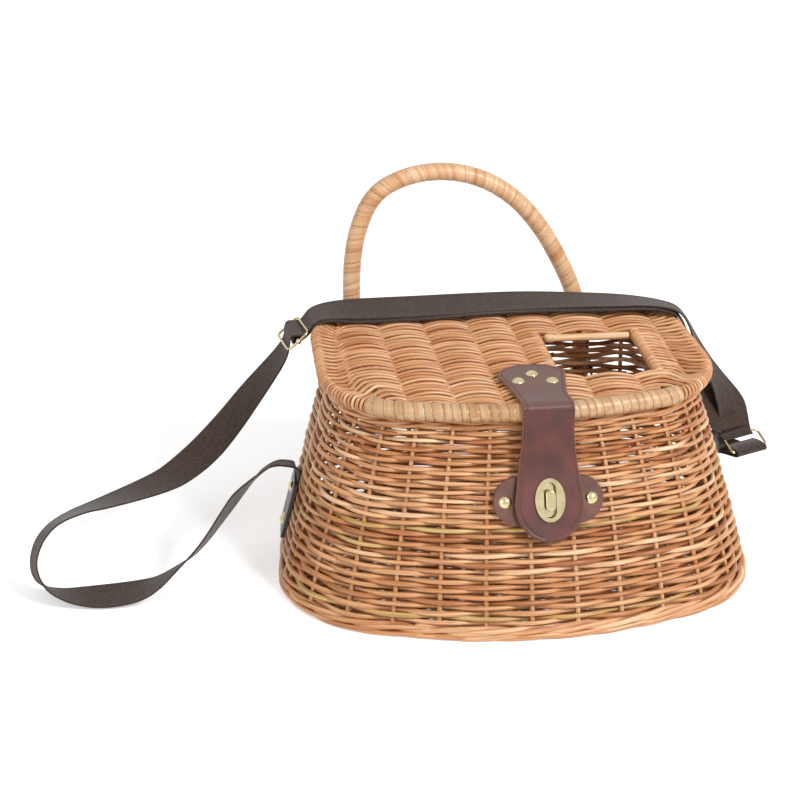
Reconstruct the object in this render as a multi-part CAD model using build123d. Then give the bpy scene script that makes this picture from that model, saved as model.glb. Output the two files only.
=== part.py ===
from build123d import *
import math
import os

# Wicker fishing creel: a willow basket with a hinged lid, a cane hoop handle, a leather
# closure with a turn button, and a webbing shoulder strap with a slider and a ring.
# Frame: X to the right seen from the front, -Y to the front, +Z up, floor at Z = 0.
# Lengths in millimetres.

# ---- driving sizes -----------------------------------------------------------------------
# A plan outline has a front apex, two front corners and two back corners.
BASE_APEX, BASE_APEX_RADIUS = 154.0, 325.0
BASE_FRONT_X, BASE_FRONT_Y, BASE_FRONT_RADIUS = 195.0, 94.0, 90.0
BASE_BACK_X, BASE_BACK_Y, BASE_BACK_RADIUS = 166.0, 98.0, 80.0
LID_APEX, LID_APEX_RADIUS = 91.0, 360.0
LID_FRONT_X, LID_FRONT_Y, LID_FRONT_RADIUS = 152.0, 59.0, 68.0
LID_BACK_X, LID_BACK_Y, LID_BACK_RADIUS = 142.0, 106.0, 42.0
LID_OVERHANG = 6.0            # lid rod centre line outside the wall's rim line

FOOT_HEIGHT = 10.0            # height of the foot border
FOOT_ROUND = 2.5              # its rounded lower edge
WALL_TOP = 150.0
WALL_THICKNESS = 9.0
WALL_BULGE = 1.11             # how far the wall stays wide before it runs in
COURSES = 14                  # rounds of weaving that stand out of the wall
COURSE_DEPTH = 1.8            # depth of the grooves between them
RIM_HEIGHT = 7.5
RIM_OUT = 1.0                 # rim and foot borders stand out of the wall
FLOOR_THICKNESS = 7.0
STAKE_COUNT = 28
STAKE_DIAMETER = 3.8
FIT = 0.1                     # clearance of a rod in the weave

LID_GAP = 0.5                 # lid rod above the rim
LID_ROD_DIAMETER = 12.0
LID_PANEL_THICKNESS = 8.0
LID_SLITS_Y = (-73.0, -61.0, -49.0, -37.0, -24.0, -12.0, 0.0, 12.0, 24.0, 36.0, 56.0, 68.0, 80.0, 92.0)
SLIT_WIDTH, SLIT_DEPTH = 4.0, 1.3
FLOOR_SLITS_Y = (-72.0, -54.0, -36.0, -18.0, 0.0, 18.0, 36.0, 54.0, 72.0)
FLOOR_SLIT = (7.0, 2.4)       # width and depth of the grooves under the floor
LID_RIB_DIAMETER = 4.6
LID_RIBS_X = (-112.0, -76.0, -40.0, -4.0, 27.0, 68.0, 109.0)
HOLE_X = (33.0, 104.0)
HOLE_Y = (-27.0, 46.0)
HOLE_CORNER = 6.0
HOLE_ROD_DIAMETER = 6.4
BINDING = 1.2                 # thickness of split cane
HINGE_X = 95.0
HINGE_WIDTH = 13.0
HINGE_PLAY = 0.3

HANDLE_ROD_DIAMETER = 12.0
LASHING_HEIGHTS = (94.0, 111.0)
LASHING_WIDTH = 11.0

LEATHER = 2.5
CLOSURE_X = 7.0               # centre of the closure
CLOSURE_END_WIDTH = 53.0
CLOSURE_NECK_WIDTH = 40.0
CLOSURE_TOP_LENGTH = 78.0     # from its rounded end to the lid's front edge
CLOSURE_BEND_RADIUS = 7.0
LOCK_HEIGHT = 100.0           # height of the turn button on the wall
LOCK_TO_END = 31.0            # from the button to the closure's lower end
LOCK_TO_NECK = 52.0           # from the button up to where the flare starts
PATCH_WIDTH, PATCH_HEIGHT, PATCH_THICKNESS = 84.0, 40.0, 2.6
PATCH_RIVETS = 66.0
BASE_PLATE = (17.0, 26.0, 1.0)
EYELET = (23.0, 33.0, 1.5)
EYELET_BACK = 0.6
SLOT_WIDTH, SLOT_LENGTH = 9.5, 27.0
BUTTON_LENGTH, BUTTON_WIDTH, BUTTON_HEIGHT = 15.5, 7.6, 3.2
POST_DIAMETER = 4.8
POST_PLAY = 0.05
LOCK_GAP = 0.3

RIVET_HEAD, RIVET_SHAFT = 10.0, 3.2
RIVET_DOME = 2.6
WASHER, WASHER_THICKNESS = 9.0, 1.0
TAB_WIDTH, TAB_HEIGHT, TAB_THICKNESS = 36.0, 50.0, 3.0
TAB_RIVETS = 30.0
TAB_Z = 44.0
TAB_Y = 22.0

STRAP_WIDTH, STRAP_THICKNESS = 31.0, 1.6
WIRE = 2.6
SLIDER_LENGTH = 24.0
RING_LENGTH = 19.0
WIRE_ROOM = 2.5               # room beside the webbing in the slider and the ring


# ---- outlines ----------------------------------------------------------------------------
def corner_list(apex, front_x, front_y, back_x, back_y):
    """The outline's five corners, anticlockwise from the apex."""
    right = [(0, -apex), (front_x, -front_y), (back_x, back_y)]
    return right + [(-back_x, back_y), (-front_x, -front_y)]


BASE = (corner_list(BASE_APEX, BASE_FRONT_X, BASE_FRONT_Y, BASE_BACK_X, BASE_BACK_Y),
        (BASE_APEX_RADIUS, BASE_FRONT_RADIUS, BASE_BACK_RADIUS))
LID = (corner_list(LID_APEX, LID_FRONT_X, LID_FRONT_Y, LID_BACK_X, LID_BACK_Y),
       (LID_APEX_RADIUS, LID_FRONT_RADIUS, LID_BACK_RADIUS))


def inset(shape, amount):
    """The outline moved inwards, or outwards with a negative amount."""
    corners, radii = shape
    moved = []
    for i, here in enumerate(corners):
        before, after = corners[i - 1], corners[(i + 1) % len(corners)]
        a = Vector(here[0] - before[0], here[1] - before[1]).normalized()
        b = Vector(after[0] - here[0], after[1] - here[1]).normalized()
        inward_a, inward_b = Vector(-a.Y, a.X), Vector(-b.Y, b.X)
        shift = (inward_a + inward_b) * (amount / (1 + inward_a.dot(inward_b)))
        moved.append((here[0] + shift.X, here[1] + shift.Y))
    return moved, tuple(r - amount for r in radii)


RIM = inset(LID, LID_OVERHANG)


def wall_shape(z):
    """The wall's outer outline at a height, between the base and the rim."""
    rise = (z - FOOT_HEIGHT) / (WALL_TOP + RIM_HEIGHT - FOOT_HEIGHT)
    part = max(rise, 0.0) ** WALL_BULGE
    corners = [(a[0] + (b[0] - a[0]) * part, a[1] + (b[1] - a[1]) * part)
               for a, b in zip(BASE[0], RIM[0])]
    return corners, tuple(a + (b - a) * part for a, b in zip(BASE[1], RIM[1]))


def outline_edges(shape, z=0.0):
    """Straight and round stretches of an outline, in order."""
    corners, (apex, front, back) = shape
    radii = (apex, front, back, back, front)
    arcs = []
    for i, here in enumerate(corners):
        before, after = Vector(*corners[i - 1], z), Vector(*corners[(i + 1) % 5], z)
        here = Vector(*here, z)
        a, b = (before - here).normalized(), (after - here).normalized()
        half = math.radians(a.get_angle(b)) / 2
        reach = radii[i] / math.tan(half)
        middle = here + (a + b).normalized() * (radii[i] / math.sin(half) - radii[i])
        arcs.append((here + a * reach, middle, here + b * reach))
    edges = []
    for i, (start, middle, end) in enumerate(arcs):
        edges.append(Edge.make_three_point_arc(start, middle, end))
        edges.append(Edge.make_line(end, arcs[(i + 1) % 5][0]))
    return edges


def outline_face(shape, z=0.0):
    return Face(Wire(outline_edges(shape, z)))


def slab(shape, low, high):
    return extrude(outline_face(shape, low), high - low, dir=(0, 0, 1))


def lofted(levels):
    """A solid between outlines of the wall, from (height, distance moved inwards) pairs."""
    faces = [outline_face(inset(wall_shape(z), amount), z) for z, amount in levels]
    return loft(faces, ruled=True)


def front_y(z):
    """The wall's outer face on the centre line of the front."""
    corners, radii = wall_shape(z)
    slope = math.atan2(corners[1][1] - corners[0][1], corners[1][0])
    return corners[0][1] + radii[0] * (1 / math.cos(slope) - 1)


def side_x(y, z):
    """The wall's outer face on its straight right side."""
    corners = wall_shape(z)[0]
    (x1, y1), (x2, y2) = corners[1], corners[2]
    return x1 + (x2 - x1) * (y - y1) / (y2 - y1)


# ---- paths -------------------------------------------------------------------------------
def rounded_path(points, radii=None):
    """Straight runs joined by tangent arcs through a list of points."""
    points = [Vector(*p) for p in points]
    edges, last = [], points[0]
    for i in range(1, len(points) - 1):
        a, b = points[i - 1] - points[i], points[i + 1] - points[i]
        reach = 0.45 * min(a.length, b.length)
        a, b = a.normalized(), b.normalized()
        half = math.radians(a.get_angle(b)) / 2
        if radii:
            reach = min(reach, radii[i - 1] / math.tan(half))
        radius = reach * math.tan(half)
        middle = points[i] + (a + b).normalized() * (radius / math.sin(half) - radius)
        start, end = points[i] + a * reach, points[i] + b * reach
        edges.append(Edge.make_line(last, start))
        edges.append(Edge.make_three_point_arc(start, middle, end))
        last = end
    edges.append(Edge.make_line(last, points[-1]))
    return Wire(edges)


def tube(path, outer, inner=0.0):
    plane = Plane(path @ 0, z_dir=path % 0)
    section = Circle(outer)
    if inner:
        section -= Circle(inner)
    return sweep(plane * section, path)


def ribbon(route, width, thickness):
    """A band through (centre, width direction) pairs."""
    faces = []
    for i, (centre, across) in enumerate(route):
        before, after = route[max(i - 1, 0)][0], route[min(i + 1, len(route) - 1)][0]
        along = (Vector(*after) - Vector(*before)).normalized()
        across = Vector(*across)
        across = (across - along * across.dot(along)).normalized()
        plane = Plane(Vector(*centre), x_dir=across, z_dir=along)
        faces.append(plane * Rectangle(width, thickness).face())
    stretches = [loft(pair, ruled=True) for pair in zip(faces, faces[1:])]
    return stretches[0] + stretches[1:]


def wire_frame(plane, width, length, bars):
    """A rectangle of wire in a plane, width along its x, with extra bars along x."""
    corner = 1.6 * WIRE
    loop = RectangleRounded(width, length, corner).wire()
    ring = sweep(Plane(loop @ 0, z_dir=loop % 0) * Circle(WIRE / 2), loop)
    for place in bars:
        bar = Cylinder(WIRE / 2, width, rotation=(0, 90, 0))
        ring += Pos(0, place, 0) * bar
    return plane * ring


# ---- fasteners ---------------------------------------------------------------------------
def rivet(plane, grip):
    """A domed rivet, its head on the plane and its shaft through the grip."""
    sphere_radius = (RIVET_HEAD ** 2 / 4 + RIVET_DOME ** 2) / (2 * RIVET_DOME)
    ball = Pos(0, 0, RIVET_DOME - sphere_radius) * Sphere(sphere_radius)
    box = Pos(0, 0, RIVET_DOME / 2) * Box(2 * RIVET_HEAD, 2 * RIVET_HEAD, RIVET_DOME)
    shaft = Pos(0, 0, -grip / 2) * Cylinder(RIVET_SHAFT / 2, grip)
    return plane * ((ball & box) + shaft)


def washer(plane, grip):
    """A washer at the end of a rivet's grip."""
    ring = Cylinder(WASHER / 2, WASHER_THICKNESS) - Cylinder(RIVET_SHAFT / 2, 2 * WASHER_THICKNESS)
    return plane * (Pos(0, 0, -grip + WASHER_THICKNESS / 2) * ring)


def shaft_hole(plane, depth):
    return plane * (Pos(0, 0, -depth / 2) * Cylinder(RIVET_SHAFT / 2, depth))


def group(solids):
    return Compound(children=[s.solid() if len(s.solids()) == 1 else s for s in solids])


def cross_slit(y, face_z, out, width=SLIT_WIDTH, depth=SLIT_DEPTH):
    """A V groove from side to side between two bands of weave."""
    half = width / 2
    profile = Polyline((y - half, face_z), (y, face_z - out * depth), (y + half, face_z),
                       (y + half, face_z + out), (y - half, face_z + out), close=True)
    return extrude(Plane.YZ * make_face(profile), 2 * LID_FRONT_X, both=True)


# ---- basket ------------------------------------------------------------------------------
wall_levels = [FOOT_HEIGHT, 45.0, 90.0, WALL_TOP]
course = (WALL_TOP - FOOT_HEIGHT) / COURSES
woven_levels = [(FOOT_HEIGHT, COURSE_DEPTH)]
for k in range(COURSES):
    low = FOOT_HEIGHT + k * course
    woven_levels += [(low + 0.3 * course, 0.0), (low + 0.7 * course, 0.0), (low + course, COURSE_DEPTH)]
wall = lofted(woven_levels) - lofted([(z, WALL_THICKNESS) for z in wall_levels])

# Stakes stand in the middle of the weave, evenly spaced round the foot.
ring_edges = [outline_edges(inset(wall_shape(z), WALL_THICKNESS / 2), z) for z in wall_levels]
lengths = [edge.length for edge in ring_edges[0]]
stake_list = []
for k in range(STAKE_COUNT):
    distance = (k + 0.5) * sum(lengths) / STAKE_COUNT
    index = 0
    while distance > lengths[index]:
        distance -= lengths[index]
        index += 1
    spots = [edges[index] @ (distance / lengths[index]) for edges in ring_edges]
    stake_list.append(rounded_path(spots))
channels = [tube(path, STAKE_DIAMETER / 2 + FIT) for path in stake_list]
wall_room = slab(inset(BASE, -RIM_OUT), FOOT_HEIGHT, WALL_TOP)
stakes = group([tube(path, STAKE_DIAMETER / 2) & wall_room for path in stake_list])
wall = wall - channels

foot_outer = inset(BASE, -RIM_OUT)
foot = slab(foot_outer, 0, FOOT_HEIGHT) - slab(inset(BASE, WALL_THICKNESS + RIM_OUT), 0, FOOT_HEIGHT)
foot = chamfer(foot.faces().sort_by(Axis.Z)[0].outer_wire().edges(), FOOT_ROUND)
floor_low = FOOT_HEIGHT - FLOOR_THICKNESS
floor = slab(inset(BASE, WALL_THICKNESS + RIM_OUT), floor_low, FOOT_HEIGHT)
floor -= [cross_slit(y, floor_low, -1, *FLOOR_SLIT) for y in FLOOR_SLITS_Y]

rim_top = WALL_TOP + RIM_HEIGHT
rim = slab(inset(RIM, -RIM_OUT), WALL_TOP, rim_top)
rim -= slab(inset(RIM, WALL_THICKNESS + RIM_OUT), WALL_TOP, rim_top)

# ---- handle ------------------------------------------------------------------------------
handle_radius = HANDLE_ROD_DIAMETER / 2 + BINDING
leg_y = LID_BACK_Y - LID_OVERHANG + handle_radius - 0.1
behind_lid = LID_BACK_Y + LID_ROD_DIAMETER / 2 + handle_radius + 1.2
handle_points = [
    (-110, leg_y, 84), (-110, leg_y, 128), (-110, behind_lid - 3.0, 150),
    (-110, behind_lid + 0.8, 176), (-110, behind_lid + 3, 203), (-106, behind_lid + 5, 232),
    (-94, behind_lid + 7, 261), (-70, behind_lid + 9, 275), (-38, behind_lid + 10, 279.5),
    (-6, behind_lid + 9, 273), (22, behind_lid + 7, 256), (44, behind_lid + 5, 231),
    (61, behind_lid + 3, 202), (74, behind_lid + 1, 174), (79, behind_lid - 3.0, 150),
    (80, leg_y, 128), (80, leg_y, 84)]
handle_path = rounded_path(handle_points)
handle_core = tube(handle_path, HANDLE_ROD_DIAMETER / 2)
handle_wrap = tube(handle_path, handle_radius, HANDLE_ROD_DIAMETER / 2)

def lashing_shape(radius):
    """A round end at the back and straight sides running forward to the wall."""
    return Circle(radius) + Pos(0, -handle_radius / 2) * Rectangle(2 * radius, handle_radius)


lash_inner = handle_radius + FIT
lashings = []
for leg_x in (handle_points[0][0], handle_points[-1][0]):
    for height in LASHING_HEIGHTS:
        band = lashing_shape(lash_inner + BINDING) - lashing_shape(lash_inner)
        front = Pos(0, -2 * handle_radius) * Rectangle(4 * handle_radius, 2 * handle_radius)
        band = extrude(band - front, LASHING_WIDTH)
        lashings.append(Pos(leg_x, leg_y, height - LASHING_WIDTH / 2) * band)
lashings = group(lashings)

# ---- lid ---------------------------------------------------------------------------------
rod_radius = LID_ROD_DIAMETER / 2
lid_z = rim_top + LID_GAP + rod_radius
hinge_radius = rod_radius + HINGE_PLAY + BINDING
lid_path = Wire(outline_edges(LID, lid_z))
lid_frame = tube(lid_path, rod_radius)

lid_edges = outline_edges(LID, lid_z)
front_path = Wire([lid_edges[8], lid_edges[9], lid_edges[0], lid_edges[1], lid_edges[2]])
front_binding = tube(front_path, rod_radius + BINDING, rod_radius)

panel_inset = rod_radius + BINDING + FIT
panel_low, panel_high = lid_z - LID_PANEL_THICKNESS / 2, lid_z + LID_PANEL_THICKNESS / 2
hole_size = (HOLE_X[1] - HOLE_X[0], HOLE_Y[1] - HOLE_Y[0])
hole_centre = ((HOLE_X[0] + HOLE_X[1]) / 2, (HOLE_Y[0] + HOLE_Y[1]) / 2)
hole = Pos(*hole_centre, panel_low - 1) * extrude(
    RectangleRounded(*hole_size, HOLE_CORNER), LID_PANEL_THICKNESS + 2)


lid_panel = slab(inset(LID, panel_inset), panel_low, panel_high) - hole
lid_panel -= [cross_slit(y, panel_high, 1) for y in LID_SLITS_Y]
lid_panel -= [cross_slit(y, panel_low, -1) for y in LID_SLITS_Y]

hole_rod_y = HOLE_Y[1] + HOLE_ROD_DIAMETER / 2
hole_rod_spot = Pos(hole_centre[0], hole_rod_y, lid_z) * Rot(0, 90, 0)
hole_rod_length = hole_size[0] - 2.0
hole_rod = hole_rod_spot * Cylinder(HOLE_ROD_DIAMETER / 2, hole_rod_length)
lid_panel -= hole_rod_spot * Cylinder(HOLE_ROD_DIAMETER / 2 + FIT, hole_rod_length + 2 * FIT)
lid_panel = max(lid_panel.solids(), key=lambda s: s.volume)

inside_rod = slab(inset(LID, rod_radius - 0.2), panel_low, panel_high)
clear_of_hole = Pos(*hole_centre, panel_low - 1) * extrude(
    Rectangle(hole_size[0], hole_size[1] + 2 * HOLE_ROD_DIAMETER + 4), LID_PANEL_THICKNESS + 2)


def lid_ribs(diameter):
    ribs = []
    for x in LID_RIBS_X:
        rod = Pos(x, 0, lid_z) * Rot(90, 0, 0) * Cylinder(diameter / 2, 2.4 * LID_BACK_Y)
        rod = (rod & inside_rod) - lid_frame - front_binding
        if HOLE_X[0] - diameter / 2 < x < HOLE_X[1] + diameter / 2:
            rod = rod - clear_of_hole
        ribs += [piece for piece in rod.solids() if piece.volume > 20]
    return ribs


lid_panel = lid_panel - lid_ribs(LID_RIB_DIAMETER + 2 * FIT)
ribs = group(lid_ribs(LID_RIB_DIAMETER))

def hinge_loop(x):
    """Split cane round the lid's back rod and down behind the rim."""
    spot = Pos(x, LID_BACK_Y, lid_z) * Rot(0, 90, 0)
    band = Cylinder(hinge_radius, HINGE_WIDTH) - Cylinder(rod_radius + HINGE_PLAY, HINGE_WIDTH)
    drop = lid_z - rim_top
    tail = Pos(x, LID_BACK_Y - LID_OVERHANG + RIM_OUT + BINDING / 2, rim_top - drop / 2)
    strip = tail * Box(HINGE_WIDTH, BINDING, 2.4 * drop)
    strip = strip - spot * Cylinder(rod_radius + HINGE_PLAY, 2 * HINGE_WIDTH)
    return (spot * band + strip).solid()


hinge_left, hinge_right = hinge_loop(-HINGE_X), hinge_loop(HINGE_X)
for_loops = [Pos(x, LID_BACK_Y, lid_z) * Rot(0, 90, 0) * Cylinder(hinge_radius + 0.5, HINGE_WIDTH + 1)
             for x in (-HINGE_X, HINGE_X)]
lid_panel = lid_panel - for_loops
lid_panel = max(lid_panel.solids(), key=lambda s: s.volume)
rim = rim - [Pos(x, LID_BACK_Y, lid_z) * Rot(0, 90, 0) * Cylinder(hinge_radius, HINGE_WIDTH)
             for x in (-HINGE_X, HINGE_X)]

# ---- closure -----------------------------------------------------------------------------
# The lock's frame: x across, y up the wall, z out of it.
step = 1.0
lean = Vector(0, front_y(LOCK_HEIGHT + step) - front_y(LOCK_HEIGHT - step), 2 * step).normalized()
lock = Plane((CLOSURE_X, front_y(LOCK_HEIGHT), LOCK_HEIGHT), x_dir=(1, 0, 0),
             z_dir=Vector(1, 0, 0).cross(lean))


def moved_plane(plane, x=0.0, y=0.0, height=0.0):
    """The same plane with its origin moved in its own frame."""
    return Plane(plane.from_local_coords(Vector(x, y, height)), x_dir=plane.x_dir, z_dir=plane.z_dir)


def at_lock(height, x=0.0, y=0.0):
    return moved_plane(lock, x, y, height)


patch_base = 0.3
patch_top = patch_base + PATCH_THICKNESS
ear = PATCH_HEIGHT * 0.45
patch_sketch = RectangleRounded(CLOSURE_END_WIDTH, PATCH_HEIGHT, 8)
for side in (-1, 1):
    patch_sketch += Pos(side * (PATCH_WIDTH / 2 - ear), 0) * Circle(ear)
patch_sketch = make_hull(patch_sketch.edges())
patch = at_lock(patch_base) * extrude(patch_sketch, PATCH_THICKNESS)

patch_spots = [at_lock(patch_top, side * PATCH_RIVETS / 2) for side in (-1, 1)]
patch_grip = patch_top + WALL_THICKNESS + 6.0
patch_rivets = group([rivet(spot, patch_grip) for spot in patch_spots])
patch_washers = group([washer(spot, patch_grip) for spot in patch_spots])
patch = patch - [shaft_hole(spot, patch_grip) for spot in patch_spots]

plate_top = patch_top + BASE_PLATE[2]
flap_back = plate_top + LOCK_GAP + EYELET_BACK
flap_front = flap_back + LEATHER
eyelet_top = flap_front + EYELET[2]
button_low = eyelet_top + LOCK_GAP
button_high = button_low + BUTTON_HEIGHT
post_top = button_high - 0.8

base_plate = extrude(Ellipse(BASE_PLATE[0] / 2, BASE_PLATE[1] / 2), BASE_PLATE[2])
post_height = post_top - patch_top
lock_base = at_lock(patch_top) * (base_plate + Pos(0, 0, post_height / 2)
                                  * Cylinder(POST_DIAMETER / 2, post_height))

button_sketch = SlotOverall(BUTTON_LENGTH, BUTTON_WIDTH, rotation=90)
button_solid = extrude(button_sketch, BUTTON_HEIGHT)
button_solid = fillet(button_solid.faces().sort_by(Axis.Z)[-1].edges(), 0.9)
bore_depth = post_top - button_low + POST_PLAY
button_solid -= Pos(0, 0, bore_depth / 2) * Cylinder(POST_DIAMETER / 2 + POST_PLAY, bore_depth)
turn_button = at_lock(button_low) * button_solid

slot_sketch = SlotOverall(SLOT_LENGTH, SLOT_WIDTH, rotation=90)
eyelet_sketch = Ellipse(EYELET[0] / 2, EYELET[1] / 2) - slot_sketch
eyelet_front = at_lock(flap_front) * extrude(eyelet_sketch, EYELET[2])
eyelet_back = at_lock(flap_back - EYELET_BACK) * extrude(eyelet_sketch, EYELET_BACK)

# The leather runs over the lid's front edge as one strip: the part riveted to the lid ends
# at the bend, and the flap turns about the bend's axis.
lid_front = -LID_APEX + LID_APEX_RADIUS * (
    1 / math.cos(math.atan2(LID_APEX - LID_FRONT_Y, LID_FRONT_X)) - 1)
strip_mid = LEATHER / 2
edge_y = lid_front - rod_radius - BINDING - 0.3 - strip_mid
over_z = lid_z + rod_radius + BINDING + 0.3 + strip_mid
panel_z = panel_high + 0.3 + strip_mid
bend_z = lid_z - 2.0
end_y = edge_y + CLOSURE_TOP_LENGTH + 2.0
ramp_y = lid_front + rod_radius + 4.0
top_line = rounded_path([(0, end_y, panel_z), (0, ramp_y + 6, panel_z), (0, ramp_y - 8, over_z),
                         (0, edge_y, over_z), (0, edge_y, bend_z + strip_mid + 0.2)],
                        (40, 20, CLOSURE_BEND_RADIUS))


def strip_solid(path, width):
    """A leather strip of even thickness along a path in the YZ plane."""
    start = Plane(path @ 0, x_dir=(1, 0, 0), z_dir=path % 0)
    return Pos(CLOSURE_X, 0, 0) * sweep(start * Rectangle(width, LEATHER), path)


def half_widths(stations):
    """A plan shape symmetric about the centre from (distance, half width) stations."""
    right = [(half, place) for place, half in stations]
    left = [(-half, place) for place, half in reversed(stations)]
    return make_face(Polyline(*right, *left, close=True))


end_half, neck_half = CLOSURE_END_WIDTH / 2, CLOSURE_NECK_WIDTH / 2
top_plan = half_widths([(edge_y - 10, neck_half), (end_y - 52, neck_half),
                        (end_y - 26, end_half - 2), (end_y - 18, end_half)])
top_plan = top_plan + Pos(0, end_y - 18) * (Ellipse(end_half, 18))
top_cut = Pos(CLOSURE_X, 0, 0) * extrude(top_plan, 400)
closure_top = strip_solid(top_line, CLOSURE_END_WIDTH + 4) & top_cut

flap_mid = (flap_back + flap_front) / 2
low_end = at_lock(flap_mid, 0, -LOCK_TO_END - 1).origin
high_end = at_lock(flap_mid, 0, EYELET[1] / 2 + 9).origin
flap_line = rounded_path([(0, edge_y, bend_z - strip_mid), (0, edge_y - 0.9, bend_z - 9),
                          (0, high_end.Y, high_end.Z), (0, low_end.Y, low_end.Z)], (20, 60))
flap_plan = half_widths([(bend_z + 10, neck_half), (LOCK_HEIGHT + LOCK_TO_NECK - 4, neck_half),
                         (LOCK_HEIGHT + 12, end_half - 1.5), (LOCK_HEIGHT + 2, end_half)])
flap_low = low_end.Z + 1
flap_plan = flap_plan + Pos(0, LOCK_HEIGHT + 2) * Ellipse(end_half, LOCK_HEIGHT + 2 - flap_low)
flap_cut = extrude(Plane((CLOSURE_X, 0, 0), x_dir=(1, 0, 0), z_dir=(0, -1, 0)) * flap_plan, 400)
flap = strip_solid(flap_line, CLOSURE_END_WIDTH + 4) & flap_cut
flap = flap - at_lock(flap_back - 4) * extrude(slot_sketch, 12)

rivet_spots = []
for dx, dy in ((-13, 0), (0, 11.5), (13, -2)):
    rivet_spots.append(Plane((CLOSURE_X + dx, end_y - 30 + dy, panel_z + strip_mid)))
lid_grip = LEATHER + 0.3 + LID_PANEL_THICKNESS + WASHER_THICKNESS
closure_rivets = group([rivet(spot, lid_grip) for spot in rivet_spots])
closure_washers = group([washer(spot, lid_grip) for spot in rivet_spots])
closure_holes = [shaft_hole(spot, lid_grip) for spot in rivet_spots]
closure_top = closure_top - closure_holes
lid_panel = lid_panel - closure_holes
ribs = group([rib - closure_holes for rib in ribs.solids()])
wall = wall - [shaft_hole(spot, patch_grip) for spot in patch_spots]
stakes = group([stake - [shaft_hole(s, patch_grip) for s in patch_spots] for stake in stakes.solids()])


# ---- strap anchors -----------------------------------------------------------------------
def side_plane(y, side):
    """A plane on the wall's side, x along the wall to the back, y up, z out of it."""
    here = Vector(side * side_x(y, TAB_Z), y, TAB_Z)
    above = Vector(side * side_x(y, TAB_Z + step), y, TAB_Z + step)
    beside = Vector(side * side_x(y + step, TAB_Z), y + step, TAB_Z)
    up, along = (above - here).normalized(), (beside - here).normalized()
    out = along.cross(up)
    if out.X * side < 0:
        out, along = out * -1, along * -1
    return Plane(here, x_dir=along, z_dir=out)


def tab_pieces(y, side):
    plane = side_plane(y, side)
    body = plane * (Pos(0, 0, 0.3) * extrude(RectangleRounded(TAB_WIDTH, TAB_HEIGHT, 5), TAB_THICKNESS))
    spots = [moved_plane(plane, 0, place, 0.3 + TAB_THICKNESS)
             for place in (-TAB_RIVETS / 2, TAB_RIVETS / 2)]
    grip = TAB_THICKNESS + 0.3 + WALL_THICKNESS + 2.5
    holes = [shaft_hole(spot, grip) for spot in spots]
    rivets = group([rivet(spot, grip) for spot in spots])
    washers = group([washer(spot, grip) for spot in spots])
    return plane, body - holes, rivets, washers, holes


left_plane, tab_left, tab_left_rivets, tab_left_washers, left_holes = tab_pieces(TAB_Y, -1)
right_plane, tab_right, tab_right_rivets, tab_right_washers, right_holes = tab_pieces(TAB_Y, 1)
wall = wall - left_holes - right_holes
stakes = group([stake - (left_holes + right_holes) for stake in stakes.solids()])

# ---- ring, slider and webbing ------------------------------------------------------------
ring_across = Vector(-0.60, -0.75, -0.25).normalized()
ring_low = Vector(214.5, 46, 61.8)
ring_high = Vector(205.5, 53, 74.8)
ring_y = (ring_high - ring_low).normalized()
ring_y = (ring_y - ring_across * ring_y.dot(ring_across)).normalized()
ring_plane = Plane(ring_low + ring_y * (RING_LENGTH / 2 - WIRE / 2), x_dir=ring_across,
                   z_dir=ring_across.cross(ring_y))
frame_width = STRAP_WIDTH + WIRE + 2 * WIRE_ROOM
ring = wire_frame(ring_plane, frame_width, RING_LENGTH - WIRE, [])

slider_across = Vector(0.12, -0.99, 0.05).normalized()
slider_along = Vector(-0.76, -0.10, -0.64)
slider_along = (slider_along - slider_across * slider_along.dot(slider_across)).normalized()
slider_centre = Vector(-163.5, 98, 156.7)
slider_plane = Plane(slider_centre, x_dir=slider_across, z_dir=slider_across.cross(slider_along))
slider = wire_frame(slider_plane, frame_width, SLIDER_LENGTH - WIRE, [0.0])

BACK = (0, 1, 0)


def above_tab(plane, rise, out=0.0):
    """A point above the tab's top edge, in the middle of its thickness or further out."""
    return tuple(moved_plane(plane, 0, TAB_HEIGHT / 2 + rise, 0.3 + TAB_THICKNESS / 2 + out).origin)


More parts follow.
